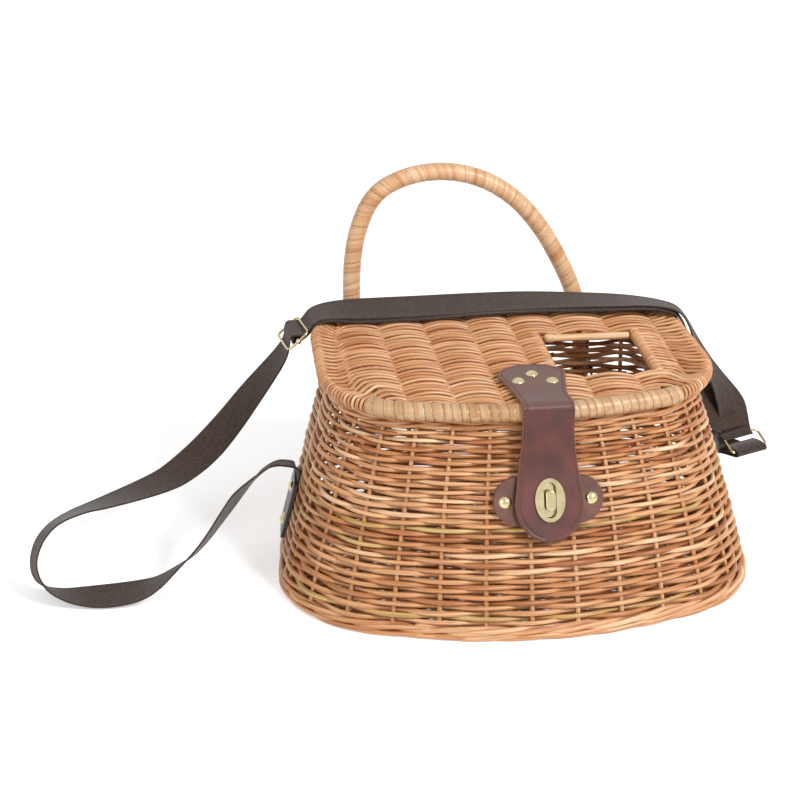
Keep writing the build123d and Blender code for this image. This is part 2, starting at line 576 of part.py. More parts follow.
under_slider = -(WIRE / 2 + STRAP_THICKNESS / 2 + 0.4)
slider_out = slider_plane.from_local_coords(Vector(0, SLIDER_LENGTH / 2 + 4, under_slider))
slider_in = slider_plane.from_local_coords(Vector(0, -SLIDER_LENGTH / 2 - 1, under_slider))
SLIDER_WAY = tuple(slider_across * -1)
main_route = [
    (above_tab(left_plane, 0.6), left_plane.x_dir), (above_tab(left_plane, 3), left_plane.x_dir),
    ((-169, 23, 77), (-0.2, 0.95, -0.2)), ((-176.5, 22.5, 79), (-0.25, 0.95, -0.25)),
    ((-186, 19, 78.5), (-0.35, 0.85, -0.45)), ((-192.5, 16, 78), (-0.3, 0.75, -0.65)),
    ((-217.5, -3, 64), (0.05, 0.65, -0.75)), ((-225.5, -9, 56.5), (0.1, 0.7, -0.7)),
    ((-248, -29, 35), (0, 0.75, -0.65)), ((-268.5, -36, 21.5), (0, 0.9, -0.4)),
    ((-280, -39.5, 14), (-0.05, 0.95, -0.25)), ((-292.5, -40.5, 8.5), BACK),
    ((-309, -39.5, 5), (0.05, 1, 0.1)), ((-326.5, -38.5, 3.5), (0.1, 1, 0.1)),
    ((-342, -37, 4), (0.1, 1, -0.05)), ((-352.5, -36, 5.5), (0.1, 0.95, -0.2)),
    ((-363.5, -33.5, 9), (0.15, 0.9, -0.4)), ((-370.5, -29, 14), (0.1, 0.75, -0.65)),
    ((-374.5, -23, 20.5), (-0.05, 0.6, -0.8)), ((-374, -13.5, 27), (-0.25, 0.55, -0.8)),
    ((-371, -4, 33), (-0.35, 0.6, -0.7)), ((-364, 7, 39), (-0.45, 0.65, -0.6)),
    ((-353, 16.5, 43), (-0.45, 0.75, -0.45)), ((-336.5, 27.5, 44.5), (-0.45, 0.8, -0.35)),
    ((-322, 35.5, 44), (-0.4, 0.9, -0.25)), ((-271, 57.5, 49.5), (-0.4, 0.9, 0.05)),
    ((-254, 65, 56), (-0.5, 0.85, 0.15)), ((-233, 75.5, 68.5), (-0.55, 0.8, 0.2)),
    ((-213, 86.5, 86.5), (-0.5, 0.85, 0.1)), ((-195.5, 95, 106), (-0.4, 0.9, 0.05)),
    ((-181, 97, 127), (-0.2, 1, 0)),
    (tuple(slider_out), SLIDER_WAY), (tuple(slider_in), SLIDER_WAY),
    ((-149, 98.5, 170.6), BACK), ((-142, 98.3, 175.2), BACK), ((-132, 98, 177), BACK),
    ((-118, 98, 176.8), BACK), ((-104, 97.5, 176.4), BACK),
    ((-58, 98, 176.2), BACK), ((-12, 100, 176.2), BACK), ((32, 101, 176.2), BACK),
    ((74, 97.6, 176.3), (0.05, 1, 0)), ((104, 93.5, 176.9), (0.1, 1, -0.05)),
    ((125, 89, 177.6), (0.15, 0.95, -0.15)), ((140, 84.5, 176.6), (0.12, 0.97, -0.2)),
    ((152, 80.5, 173.2), (0.12, 0.97, -0.2)), ((159.5, 76, 162), (0.15, 0.97, -0.12)),
    ((164, 71, 147), (0.3, 0.9, -0.1)), ((172.5, 65, 130), (0.4, 0.88, -0.05)),
    ((184.5, 57.5, 111), (0.5, 0.83, 0.05)), ((195.5, 53, 95), (0.58, 0.78, 0.15)),
    ((204, 49.2, 79.3), (0.60, 0.75, 0.25))]
return_route = [
    ((200.6, 51.3, 81), (0.60, 0.75, 0.25)), ((193.2, 55, 93.4), (0.58, 0.78, 0.15)),
    ((182.3, 59.3, 109.2), (0.5, 0.83, 0.05)), ((169.8, 66, 128), (0.4, 0.88, -0.05)),
    ((160.8, 71.7, 145.8), (0.3, 0.9, -0.1)), ((156, 75.5, 160.6), (0.15, 0.97, -0.12)),
    ((149.2, 79.2, 170.6), (0.12, 0.97, -0.2)), ((138.5, 82.8, 173.9), (0.12, 0.97, -0.2)),
    ((124, 87, 174.9), (0.15, 0.95, -0.15)), ((103, 91.5, 174.2), (0.1, 1, -0.05)),
    ((74, 95.5, 173.7), (0.05, 1, 0)), ((32, 98, 173.6), BACK),
    ((-12, 97, 173.6), BACK), ((-58, 95, 173.6), BACK), ((-104, 95, 173.6), BACK),
    ((-120, 96, 174), BACK), ((-131, 97, 174.2), BACK)]
strap_main = ribbon(main_route, STRAP_WIDTH, STRAP_THICKNESS)
strap_return = ribbon(return_route, STRAP_WIDTH, STRAP_THICKNESS)

webbing_end = ring_low + Vector(-1.9, 0.8, 1.4)
anchor_route = [
    (above_tab(right_plane, 0.6), right_plane.x_dir),
    (above_tab(right_plane, 7, 1.8), right_plane.x_dir), ((173, 27, 82.5), (0, 1, 0.05)),
    ((180.5, 35, 81.5), (0.15, 1, 0.15)),
    ((190.5, 42, 76.5), (0.35, 0.9, 0.25)), ((202, 45.5, 69.5), (0.5, 0.8, 0.25)),
    (tuple(webbing_end), (0.60, 0.75, 0.25))]
anchor_web = ribbon(anchor_route, STRAP_WIDTH, STRAP_THICKNESS)

# ---- files -------------------------------------------------------------------------------
NODES = {
    "basket_wall": wall,
    "wall_stakes": stakes,
    "basket_floor": floor,
    "foot_border": foot,
    "rim_border": rim,
    "handle_core": handle_core,
    "handle_wrapping": handle_wrap,
    "handle_lashings": lashings,
    "hinge_loop_left": hinge_left,
    "hinge_loop_right": hinge_right,
    "latch_patch": patch,
    "latch_patch_rivets": patch_rivets,
    "latch_patch_washers": patch_washers,
    "turnlock_base": lock_base,
    "turn_button": turn_button,
    "lid_panel": lid_panel,
    "lid_frame": lid_frame,
    "lid_ribs": ribs,
    "lid_front_binding": front_binding,
    "hole_edge_rod": hole_rod,
    "closure_strap_top": closure_top,
    "closure_rivets": closure_rivets,
    "closure_washers": closure_washers,
    "closure_flap": flap,
    "eyelet_front": eyelet_front,
    "eyelet_back": eyelet_back,
    "strap_tab_left": tab_left,
    "strap_tab_left_rivets": tab_left_rivets,
    "strap_tab_left_washers": tab_left_washers,
    "strap_tab_right": tab_right,
    "strap_tab_right_rivets": tab_right_rivets,
    "strap_tab_right_washers": tab_right_washers,
    "ring_webbing": anchor_web,
    "strap_ring": ring,
    "strap_slider": slider,
    "strap_main": strap_main,
    "strap_return": strap_return,
}

os.makedirs("parts", exist_ok=True)
for name, shape in NODES.items():
    export_step(shape, f"parts/{name}.step")
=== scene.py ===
"""A wicker fishing creel: woven willow basket and lid, cane handle, leather closure, webbing strap."""

import math

import bpy
import numpy as np
from mathutils import Matrix, Vector


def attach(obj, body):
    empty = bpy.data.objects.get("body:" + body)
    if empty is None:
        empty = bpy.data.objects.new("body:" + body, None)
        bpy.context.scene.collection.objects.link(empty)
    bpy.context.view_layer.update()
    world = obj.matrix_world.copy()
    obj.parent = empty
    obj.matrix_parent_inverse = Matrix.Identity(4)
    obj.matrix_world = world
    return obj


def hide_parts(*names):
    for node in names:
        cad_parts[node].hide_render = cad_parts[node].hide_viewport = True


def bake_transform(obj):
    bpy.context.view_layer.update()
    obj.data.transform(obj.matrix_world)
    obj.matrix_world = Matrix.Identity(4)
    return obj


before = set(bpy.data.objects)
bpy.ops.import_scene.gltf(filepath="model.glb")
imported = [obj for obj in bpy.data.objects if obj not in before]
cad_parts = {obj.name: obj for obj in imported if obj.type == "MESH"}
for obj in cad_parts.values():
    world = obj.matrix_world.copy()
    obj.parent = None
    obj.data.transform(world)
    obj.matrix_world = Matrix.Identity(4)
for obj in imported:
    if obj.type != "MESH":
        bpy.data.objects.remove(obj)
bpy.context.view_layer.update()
MM = 0.001

# ---- Floor, light and camera -------------------------------------------------------------
# A plain white studio floor that keeps the creel's shadow, lit by one soft lamp from the front
# right, a weaker and wider one from the left and an even white sky.


def linear(colour):
    """An sRGB hex colour as linear red, green, blue and alpha."""
    channels = [int(colour[i:i + 2], 16) / 255 for i in (1, 3, 5)]
    return [c / 12.92 if c <= 0.04045 else ((c + 0.055) / 1.055) ** 2.4 for c in channels] + [1.0]


def node(tree, kind, feeds=None, stops=None, **settings):
    """Adds a node: feeds are values or sockets for its inputs, stops the marks of a ramp."""
    made = tree.nodes.new("ShaderNode" + kind)
    for name, value in settings.items():
        setattr(made, name, value)
    for name, value in (feeds or {}).items():
        if isinstance(value, bpy.types.NodeSocket):
            tree.links.new(value, made.inputs[name])
        else:
            made.inputs[name].default_value = value
    if stops:
        marks = made.color_ramp.elements
        while len(marks) < len(stops):
            marks.new(0.5)
        for mark, (place, colour) in zip(marks, stops):
            mark.position, mark.color = place, linear(colour)
    return made


def new_material(name):
    """An empty surface material: its node tree and its Principled shader."""
    made = bpy.data.materials.new(name)
    made.use_nodes = True
    return made, made.node_tree, made.node_tree.nodes["Principled BSDF"]


def seen_directly(tree):
    """One where a surface is seen straight on, mirrored or through glass, zero for its light."""
    ray = node(tree, "LightPath")
    straight = node(tree, "Math", {0: ray.outputs["Is Camera Ray"], 1: ray.outputs["Is Glossy Ray"]},
                    operation="ADD")
    every = node(tree, "Math", {0: straight.outputs[0], 1: ray.outputs["Is Transmission Ray"]},
                 operation="ADD")
    return every.outputs[0]


def add_object(name, data):
    """A new object in the scene that shows a mesh, a lamp or a camera."""
    made = bpy.data.objects.new(name, data)
    bpy.context.scene.collection.objects.link(made)
    return made


FLOOR_HALF = 3.0
FLOOR_LIFT = 0.42           # the floor's own light, which keeps it white where it is seen
SKY_STRENGTH = 0.54         # the sky's light on the creel, while the sky itself shows white

floor_mesh = bpy.data.meshes.new("floor")
floor_corners = [(x * FLOOR_HALF, y * FLOOR_HALF, 0) for x, y in ((-1, -1), (1, -1), (1, 1), (-1, 1))]
floor_mesh.from_pydata(floor_corners, [], [(0, 1, 2, 3)])
floor = add_object("floor", floor_mesh)
floor_white, floor_tree, floor_surface = new_material("matt_white_floor")
floor_surface.inputs["Base Color"].default_value = linear("#f6f6f6")
floor_surface.inputs["Roughness"].default_value = 0.9
floor_surface.inputs["Specular IOR Level"].default_value = 0.1
floor_lift = node(floor_tree, "Math", {0: seen_directly(floor_tree), 1: FLOOR_LIFT},
                  operation="MULTIPLY")
floor_tree.links.new(floor_lift.outputs[0], floor_surface.inputs["Emission Strength"])
floor_surface.inputs["Emission Color"].default_value = linear("#ffffff")
floor_mesh.materials.append(floor_white)

world = bpy.data.worlds.new("pale_sky")
bpy.context.scene.world = world
world.use_nodes = True
sky = world.node_tree.nodes["Background"]
open_sky = node(world.node_tree, "Math", {0: seen_directly(world.node_tree), 1: 1 - SKY_STRENGTH},
                operation="MULTIPLY")
sky_level = node(world.node_tree, "Math", {0: open_sky.outputs[0], 1: SKY_STRENGTH}, operation="ADD")
world.node_tree.links.new(sky_level.outputs[0], sky.inputs["Strength"])
sky.inputs["Color"].default_value = linear("#ffffff")


def soft_lamp(name, place, aim, size, power):
    """A square lamp that faces a point."""
    data = bpy.data.lights.new(name, "AREA")
    data.shape, data.size, data.energy = "SQUARE", size, power
    lamp = add_object(name, data)
    lamp.location = place
    lamp.rotation_euler = (Vector(aim) - Vector(place)).to_track_quat("-Z", "Y").to_euler()


soft_lamp("key_lamp", (0.9, -1.3, 1.5), (0, 0, 0.1), 0.5, 34)
soft_lamp("fill_lamp", (-1.6, -1.0, 0.9), (0, 0, 0.1), 1.2, 10)

# The camera looks at a point beside the basket, from a distance and a direction round it.
VIEW_AZIMUTH, VIEW_ELEVATION, VIEW_ROLL = (math.radians(a) for a in (-10.004, 25.117, 1.476))
VIEW_DISTANCE = 1.977308
VIEW_TARGET = Vector((-0.087348, 0.011398, 0.134354))
sin_a, cos_a = math.sin(VIEW_AZIMUTH), math.cos(VIEW_AZIMUTH)
sin_e, cos_e = math.sin(VIEW_ELEVATION), math.cos(VIEW_ELEVATION)
view_back = Vector((sin_a * cos_e, -cos_a * cos_e, sin_e))
level_right = Vector((cos_a, sin_a, 0))
level_up = view_back.cross(level_right)
view_right = math.cos(VIEW_ROLL) * level_right + math.sin(VIEW_ROLL) * level_up
view_up = view_back.cross(view_right)
turned = Matrix((view_right, view_up, view_back)).transposed().to_4x4()
camera_data = bpy.data.cameras.new("camera")
camera_data.sensor_width = 36.0
camera_data.lens = 114.29
camera = add_object("camera", camera_data)
camera.matrix_world = Matrix.Translation(VIEW_TARGET + view_back * VIEW_DISTANCE) @ turned
bpy.context.scene.camera = camera
bpy.context.scene.view_settings.view_transform = "Standard"

# ---- Upright stakes ----------------------------------------------------------------------
# Twenty-eight willow rods stand up from the foot and lean in towards the rim. Everything woven
# round them is placed by stake number and height, so the wall's outline comes first.
STAKES = 28
STAKE_LINE = 4.5            # the stakes stand this far inside the wall's outer face
LEAN = 1.11                 # how late the wall leans in: 1 is a straight lean
WALL_LOW, WALL_HIGH = 10.0, 157.5
BASE_CORNERS = np.array([(0, -154), (195, -94), (166, 98), (-166, 98), (-195, -94)], float)
BASE_RADII = np.array([325, 90, 80, 80, 90], float)
LID_CORNERS = np.array([(0, -91), (152, -59), (142, 106), (-142, 106), (-152, -59)], float)
LID_RADII = np.array([360, 68, 42, 42, 68], float)
LID_OVERHANG = 6.0


def unit(vectors):
    """The same directions with a length of one."""
    return vectors / np.linalg.norm(vectors, axis=-1, keepdims=True)


def inset(corners, radii, amount):
    """A plan outline moved inwards."""
    moved = []
    for i, here in enumerate(corners):
        a, b = unit(here - corners[i - 1]), unit(corners[(i + 1) % len(corners)] - here)
        inward = np.array([-a[1] - b[1], a[0] + b[0]])
        moved.append(here + inward * amount / (1 + a @ b))
    return np.array(moved), radii - amount


def outline_edges(corners, radii):
    """The arc at each corner and the straight after it: centre, radius, angles and end points."""
    arcs = []
    for i, here in enumerate(corners):
        a, b = unit(corners[i - 1] - here), unit(corners[(i + 1) % len(corners)] - here)
        half = math.acos(a @ b) / 2
        reach = radii[i] / math.tan(half)
        centre = here + unit(a + b) * radii[i] / math.sin(half)
        start, end = here + a * reach, here + b * reach
        begin = math.atan2(*(start - centre)[::-1])
        arcs.append((centre, radii[i], begin, math.pi - 2 * half, start, end))
    return arcs


def edge_lengths(arcs):
    """The lengths of an outline's arcs and straights, in turn."""
    lengths = []
    for i, (_, radius, _, turn, _, end) in enumerate(arcs):
        lengths += [radius * turn, np.linalg.norm(arcs[(i + 1) % len(arcs)][4] - end)]
    return np.array(lengths)


def edge_places(arcs, distance):
    """The numbered edge at each distance along an outline, and the share of it passed there."""
    lengths = edge_lengths(arcs)
    ends = np.cumsum(lengths)
    index = np.minimum(np.searchsorted(ends, distance, "right"), len(lengths) - 1)
    return index, (distance - (ends - lengths)[index]) / lengths[index]


def outline_points(arcs, index, share):
    """Points at a share of each numbered edge, and the directions out of the outline there."""
    points, out = np.zeros((len(index), 2)), np.zeros((len(index), 2))
    for i, (centre, radius, begin, turn, _, end) in enumerate(arcs):
        on = index == 2 * i
        angle = begin + turn * share[on]
        out[on] = np.stack([np.cos(angle), np.sin(angle)], 1)
        points[on] = centre + radius * out[on]
        on = index == 2 * i + 1
        ahead = arcs[(i + 1) % len(arcs)][4] - end
        points[on] = end + ahead * share[on, None]
        out[on] = unit(np.array([ahead[1], -ahead[0]]))
    return points, out


def wall_outline(height):
    """The stakes' line in plan at a height."""
    rise = max((height - WALL_LOW) / (WALL_HIGH - WALL_LOW), 0) ** LEAN
    rim_corners, rim_radii = inset(LID_CORNERS, LID_RADII, LID_OVERHANG)
    corners = BASE_CORNERS + (rim_corners - BASE_CORNERS) * rise
    return outline_edges(*inset(corners, BASE_RADII + (rim_radii - BASE_RADII) * rise, STAKE_LINE))


# The wall's shape is worked out once, at even heights and at even steps round the stakes.
FINE = 16                   # steps between two stakes
LEVEL_STEP = 2.0
LEVELS = np.arange(-LEVEL_STEP, 162.1, LEVEL_STEP)
foot_outline = wall_outline(WALL_LOW)
stake_share = ((np.arange(STAKES * FINE) / FINE + 0.5) % STAKES) / STAKES
edge_index, edge_share = edge_places(foot_outline, stake_share * edge_lengths(foot_outline).sum())
wall_shape = np.array([outline_points(wall_outline(z), edge_index, edge_share)[0] for z in LEVELS])


def on_wall(stake, height, out=0.0):
    """Points by stake number and height, moved square out of the wall; and those directions."""
    stake, height, out = np.broadcast_arrays(*(np.asarray(a, float) for a in (stake, height, out)))

    def look(s, z):
        """Points between the worked out ones."""
        col = (s * FINE) % (STAKES * FINE)
        row = np.clip((z - LEVELS[0]) / LEVEL_STEP, 0, len(LEVELS) - 1.001)
        c, r = col.astype(int), row.astype(int)
        fc, fr = (col - c)[:, None], (row - r)[:, None]
        c2 = (c + 1) % (STAKES * FINE)
        low = wall_shape[r, c] * (1 - fc) + wall_shape[r, c2] * fc
        high = wall_shape[r + 1, c] * (1 - fc) + wall_shape[r + 1, c2] * fc
        return np.column_stack([low * (1 - fr) + high * fr, z])

    here = look(stake, height)
    along = look(stake + 0.25, height) - look(stake - 0.25, height)
    rise = look(stake, height + 3) - look(stake, height - 3)
    square = unit(np.cross(along, rise))
    return here + square * out[:, None], square


def distance_along(line):
    """How far along a line each of its points lies."""
    return np.concatenate([[0], np.cumsum(np.linalg.norm(np.diff(line, axis=0), axis=1))])


class Rods:
    """Round rods gathered into one mesh. Each keeps a tone of its own and its grain lengthwise."""

    def __init__(self, seed):
        """An empty bundle, with a seed for its tones and for where its grain starts."""
        self.points, self.faces, self.tones, self.grain, self.total = [], [], [], [], 0
        self.chance = np.random.default_rng(seed)

    def add(self, line, radius, up, sides=8, flat=1.0, tone=None, closed=False, grain=None):
        """One rod along a line. up is a direction across it, flat its thickness that way."""
        line = np.asarray(line, float)
        count = len(line)
        ahead = np.roll(line, -1, 0) - np.roll(line, 1, 0) if closed else np.gradient(line, axis=0)
        ahead = unit(ahead)
        side = unit(np.cross(ahead, np.broadcast_to(np.asarray(up, float), (count, 3))))
        lift = np.cross(side, ahead)
        radius = np.asarray(radius, float)
        if radius.ndim < 2:
            radius = np.broadcast_to(radius, count)[:, None]
        radius = np.broadcast_to(radius, (count, sides))[:, :, None]
        turn = np.arange(sides) * 2 * math.pi / sides
        c, s = np.cos(turn)[None, :, None], np.sin(turn)[None, :, None]
        rings = line[:, None] + radius * (c * side[:, None] + flat * s * lift[:, None])
        self.points.append(rings.reshape(-1, 3))
        run = distance_along(line) + self.chance.uniform(0, 9000)
        round_it = np.stack([np.broadcast_to(run[:, None], (count, sides)),
                             radius[..., 0] * np.cos(turn), radius[..., 0] * np.sin(turn)], -1)
        self.grain.append((round_it if grain is None else grain).reshape(-1, 3))
        tone = self.chance.uniform() if tone is None else tone
        self.tones.append(np.broadcast_to(tone, (count, sides)).ravel())
        k = np.arange(sides)
        for i in range(count if closed else count - 1):
            a, b = self.total + i * sides, self.total + (i + 1) % count * sides
            quads = np.stack([a + k, a + (k + 1) % sides, b + (k + 1) % sides, b + k], 1)
            self.faces += quads.tolist()
        if not closed:
            self.faces.append((self.total + k[::-1]).tolist())
            self.faces.append((self.total + (count - 1) * sides + k).tolist())
        self.total += count * sides

    def build(self, name, material, body):
        """The gathered rods as one piece, which rides on the body if one is named."""
        data = bpy.data.meshes.new(name)
        data.from_pydata((np.vstack(self.points) * MM).tolist(), [], self.faces)
        data.attributes.new("tone", "FLOAT", "POINT").data.foreach_set(
            "value", np.concatenate(self.tones))
        data.attributes.new("grain", "FLOAT_VECTOR", "POINT").data.foreach_set(
            "vector", np.vstack(self.grain).ravel())
        data.materials.append(material)
        data.shade_smooth()
        made = add_object(name, data)
        if body:
            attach(made, body)
        return made


# Peeled buff willow: tan, with browner and paler rods among them, faint streaks along the rod,
# small darker leaf scars and the satin gloss of a stripped rod.
def willow_material(name, stops, streak):
    """Willow whose colour follows each rod's tone, and whose streaks follow its grain."""
    made, tree, surface = new_material(name)
    tone = node(tree, "Attribute", attribute_name="tone")
    grain = node(tree, "Attribute", attribute_name="grain")
    colour = node(tree, "ValToRGB", {"Fac": tone.outputs["Fac"]}, stops=stops)
    stretched = node(tree, "Mapping", {"Vector": grain.outputs["Vector"], "Scale": (0.03, 0.9, 0.9)})
    streaks = node(tree, "TexNoise", {"Vector": stretched.outputs[0], "Scale": 1.0, "Detail": 3.0})
    darker = node(tree, "ValToRGB", {"Fac": streaks.outputs["Fac"]},
                  stops=[(0.3, streak), (0.62, "#ffffff")])
    streaked = node(tree, "MixRGB", {"Fac": 0.8, "Color1": colour.outputs[0],
                                     "Color2": darker.outputs[0]}, blend_type="MULTIPLY")
    wide = node(tree, "Mapping", {"Vector": grain.outputs["Vector"], "Scale": (0.012, 0.05, 0.05)})
    patches = node(tree, "TexNoise", {"Vector": wide.outputs[0], "Scale": 1.0, "Detail": 2.0})
    warm = node(tree, "ValToRGB", {"Fac": patches.outputs["Fac"]},
                stops=[(0.35, "#ffffff"), (0.75, "#f1cca8")])
    warmed = node(tree, "MixRGB", {"Fac": 0.75, "Color1": streaked.outputs[0],
                                   "Color2": warm.outputs[0]}, blend_type="MULTIPLY")
    scars = node(tree, "Mapping", {"Vector": grain.outputs["Vector"], "Scale": (0.11, 0.35, 0.35)})
    cells = node(tree, "TexVoronoi", {"Vector": scars.outputs[0], "Scale": 1.0})
    scar = node(tree, "ValToRGB", {"Fac": cells.outputs["Distance"]},
                stops=[(0.0, "#8a5a35"), (0.06, "#8a5a35"), (0.12, "#ffffff")])
    scarred = node(tree, "MixRGB", {"Fac": 0.55, "Color1": warmed.outputs[0],
                                    "Color2": scar.outputs[0]}, blend_type="MULTIPLY")
    tree.links.new(scarred.outputs[0], surface.inputs["Base Color"])
    gloss = node(tree, "MapRange", {"Value": streaks.outputs["Fac"], "To Min": 0.26, "To Max": 0.42})
    tree.links.new(gloss.outputs[0], surface.inputs["Roughness"])
    ridges = node(tree, "Bump", {"Height": streaks.outputs["Fac"], "Strength": 0.25,
                                 "Distance": 0.0003})
    tree.links.new(ridges.outputs[0], surface.inputs["Normal"])
    surface.inputs["IOR"].default_value = 1.5
    return made


willow = willow_material("peeled_buff_willow", [
    (0.0, "#ad7344"), (0.2, "#c48d5c"), (0.5, "#d4a474"), (0.8, "#e2b88c"), (0.94, "#efd2ac"),
    (1.0, "#c9ad70")], "#b98a66")

STAKE_THICK, STAKE_THIN = 1.95, 1.65    # a stake's radius at the foot and at the rim
stakes = Rods(1)
stake_heights = np.linspace(1.5, 152.0, 26)
for s in range(STAKES):
    sway = 0.25 * np.sin(stake_heights / 19 + s * 2.1)
    line, _ = on_wall(s + 0.012 * sway, stake_heights, 0.15 * sway)
    stakes.add(line, np.linspace(STAKE_THICK, STAKE_THIN, len(line)), line[0] * (1, 1, 0),
               tone=0.45 + 0.4 * stakes.chance.uniform())
stake_piece = stakes.build("stakes", willow, "basket")
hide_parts("wall_stakes")

# ---- Woven wall --------------------------------------------------------------------------
# Forty-one rounds of plain weave: each tapering rod passes in front of one stake and behind
# the next, and starts and ends inside, behind a stake. The rods get thinner towards the rim.
ROUNDS = 41
ROUND_LOW, ROUND_HIGH = 12.2, 147.6
WEAVE_DEPTH = 2.85          # from the stakes' line to the middle of a weaver at its crest
PER_STAKE = 8               # points of a rod between two stakes
CROWDING = 0.13             # how much closer together the upper rounds lie
WEAVER_THICK, WEAVER_THINS = 2.02, 0.38
STRAW_SHARE = 0.05          # the share of straw-yellow rods

weavers = Rods(2)
dice = np.random.default_rng(12)
for k in range(ROUNDS):
    t = k / (ROUNDS - 1)
    height = ROUND_LOW + (ROUND_HIGH - ROUND_LOW) * ((1 + CROWDING) * t - CROWDING * t * t)
    thick = WEAVER_THICK - WEAVER_THINS * t
    begin = int(dice.integers(0, STAKES // 2)) * 2 + k % 2 + 1
    pieces = int(dice.integers(2, 4))
    spans = [2 * round(STAKES / pieces / 2)] * (pieces - 1)
    spans.append(STAKES - sum(spans))
    for span in spans:
        steps = np.arange(0, span * PER_STAKE + 5) / PER_STAKE - 0.25
        where = begin + steps
        side = np.cos(math.pi * (where + k))
        depth = WEAVE_DEPTH * np.sign(side) * np.abs(side) ** 0.85
        depth = depth * (1 + 0.06 * np.sin(where * 1.7 + k))
        share = np.clip(steps / span, 0, 1)
        tuck = np.clip(1 - np.minimum(steps + 0.25, span + 0.25 - steps) / 0.6, 0, 1)
        sag = 0.46 * np.sin(where * 2 * math.pi / 9.3 + 2.4 * k) + 0.3 * np.sin(where * 2.3 + 5 * k)
        drop = dice.normal(0, 0.25)
        level = height + sag + drop - 1.2 * tuck * (share - 0.5)
        line, square = on_wall(where, level, depth - 0.9 * tuck)
        radius = thick * (1.13 - 0.27 * share) * (1 + 0.04 * np.sin(where * 3.1 + k))
        tone = float(np.clip(dice.normal(0.5, 0.3), 0.02, 0.93))
        if dice.uniform() < STRAW_SHARE:
            tone = 1.0
        weavers.add(line, radius, square, tone=tone)
        begin += span
wall_piece = weavers.build("woven_wall", willow, "basket")
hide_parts("basket_wall")

# ---- Foot and rim borders ----------------------------------------------------------------
# Thicker rods worked three at a time, each in front of two stakes and behind one, so that they
# lie slantwise on each other. Two rounds make the foot, two more the rim, and a plait ends it.


WALE_STRANDS = 3
WALE_SPAN = STAKES // 2     # each rod goes half way round, with an overlap of one stake


def wale(rods, height, out, thick, slant, dice, low=None):
    """One round of three-rod waling at a height, kept above the level low if one is given."""
    for strand in range(WALE_STRANDS):
        for begin in (0.0, float(WALE_SPAN)):
            steps = np.arange(0, (WALE_SPAN + 1) * PER_STAKE + 1) / PER_STAKE - 0.5
            where = begin + steps
            turn = 2 * math.pi * (where + strand) / WALE_STRANDS
            depth = out + 3.3 * np.tanh(1.6 * (np.cos(turn) + 0.3))
            sway = 0.35 * np.sin(where * 1.9 + strand + height)
            level = height + slant * np.sin(turn) + sway
            radius = thick * (1.1 - 0.2 * (steps + 0.5) / (WALE_SPAN + 1))
            radius = radius * (1 + 0.05 * np.sin(where * 2.7))
            level = level if low is None else np.maximum(level, radius + low)
            ends = np.clip(1 - np.minimum(steps + 0.5, WALE_SPAN + 0.5 - steps) / 0.7, 0, 1)
            line, square = on_wall(where, level, depth - 1.5 * ends)
            rods.add(line, radius, square, tone=float(np.clip(dice.normal(0.5, 0.22), 0.05, 0.93)))


foot_rods = Rods(3)
foot_dice = np.random.default_rng(31)
wale(foot_rods, 3.0, 1.4, 2.15, 0.9, foot_dice, low=0.05)
wale(foot_rods, 7.6, 0.9, 2.1, 1.5, foot_dice)
foot_piece = foot_rods.build("foot_waling", willow, "basket")
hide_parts("foot_border")

rim_rods = Rods(4)
rim_dice = np.random.default_rng(41)
wale(rim_rods, 149.4, 0.4, 1.75, 1.2, rim_dice)
wale(rim_rods, 152.8, 0.5, 1.8, -1.2, rim_dice)
PLAIT_Z, PLAIT_STRANDS = 154.9, 4
for strand in range(PLAIT_STRANDS):
    steps = np.arange(0, STAKES * PER_STAKE) / PER_STAKE
    turn = 2 * math.pi * (steps / 2 + strand / PLAIT_STRANDS)
    line, square = on_wall(steps, PLAIT_Z + 0.85 * np.cos(turn), 3.1 * np.sin(turn))
    rim_rods.add(line, 1.7, square, closed=True, tone=0.3 + 0.15 * strand)
rim_piece = rim_rods.build("rim_border_rods", willow, "basket")
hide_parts("rim_border")

# ---- Woven bottom ------------------------------------------------------------------------
# Eleven bottom sticks run from front to back, with rods woven over and under them from side
# to side. They end in the foot waling.
BOTTOM_Z, BOTTOM_DEPTH = 6.4, 2.1
BOTTOM_PITCH = 3.7          # from one woven rod of the bottom to the next
STICKS = 11
foot_ring = outline_edges(*inset(BASE_CORNERS, BASE_RADII, 7.0))
foot_run = np.linspace(0, edge_lengths(foot_ring).sum(), 1600, endpoint=False)


def along_outline(arcs, distance):
    """Points at distances along a plan outline, and the directions out of it."""
    return outline_points(arcs, *edge_places(arcs, distance))


foot_line, _ = along_outline(foot_ring, foot_run)


def reach(ring, place, axis):
    """The lowest and highest point of a ring across an axis, where that axis has this place."""
    near = ring[np.abs(ring[:, 1 - axis] - place) < 1.2]
    return near[:, axis].min(), near[:, axis].max()


bottom = Rods(5)
sticks = np.linspace(-150, 150, STICKS)
for x in sticks:
    low, high = reach(foot_line, x, 1)
    y = np.linspace(low, high, 12)
    bottom.add(np.column_stack([np.full(12, x), y, np.full(12, BOTTOM_Z)]), 2.0, (0, 0, 1), tone=0.5)
for k, y in enumerate(np.arange(-129.0, 88.0, BOTTOM_PITCH)):
    low, high = reach(foot_line, y, 0)
    x = np.linspace(low, high, max(int((high - low) / 5), 6))
    wave = np.cos(math.pi * (np.interp(x, sticks, np.arange(STICKS)) + k))
    line = np.column_stack([x, y + 0.5 * np.sin(x / 31 + 3 * k), BOTTOM_Z + BOTTOM_DEPTH * wave])
    bottom.add(line, 1.6, (0, 1, 0), sides=6)
bottom_piece = bottom.build("woven_bottom", willow, "basket")
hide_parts("basket_floor")

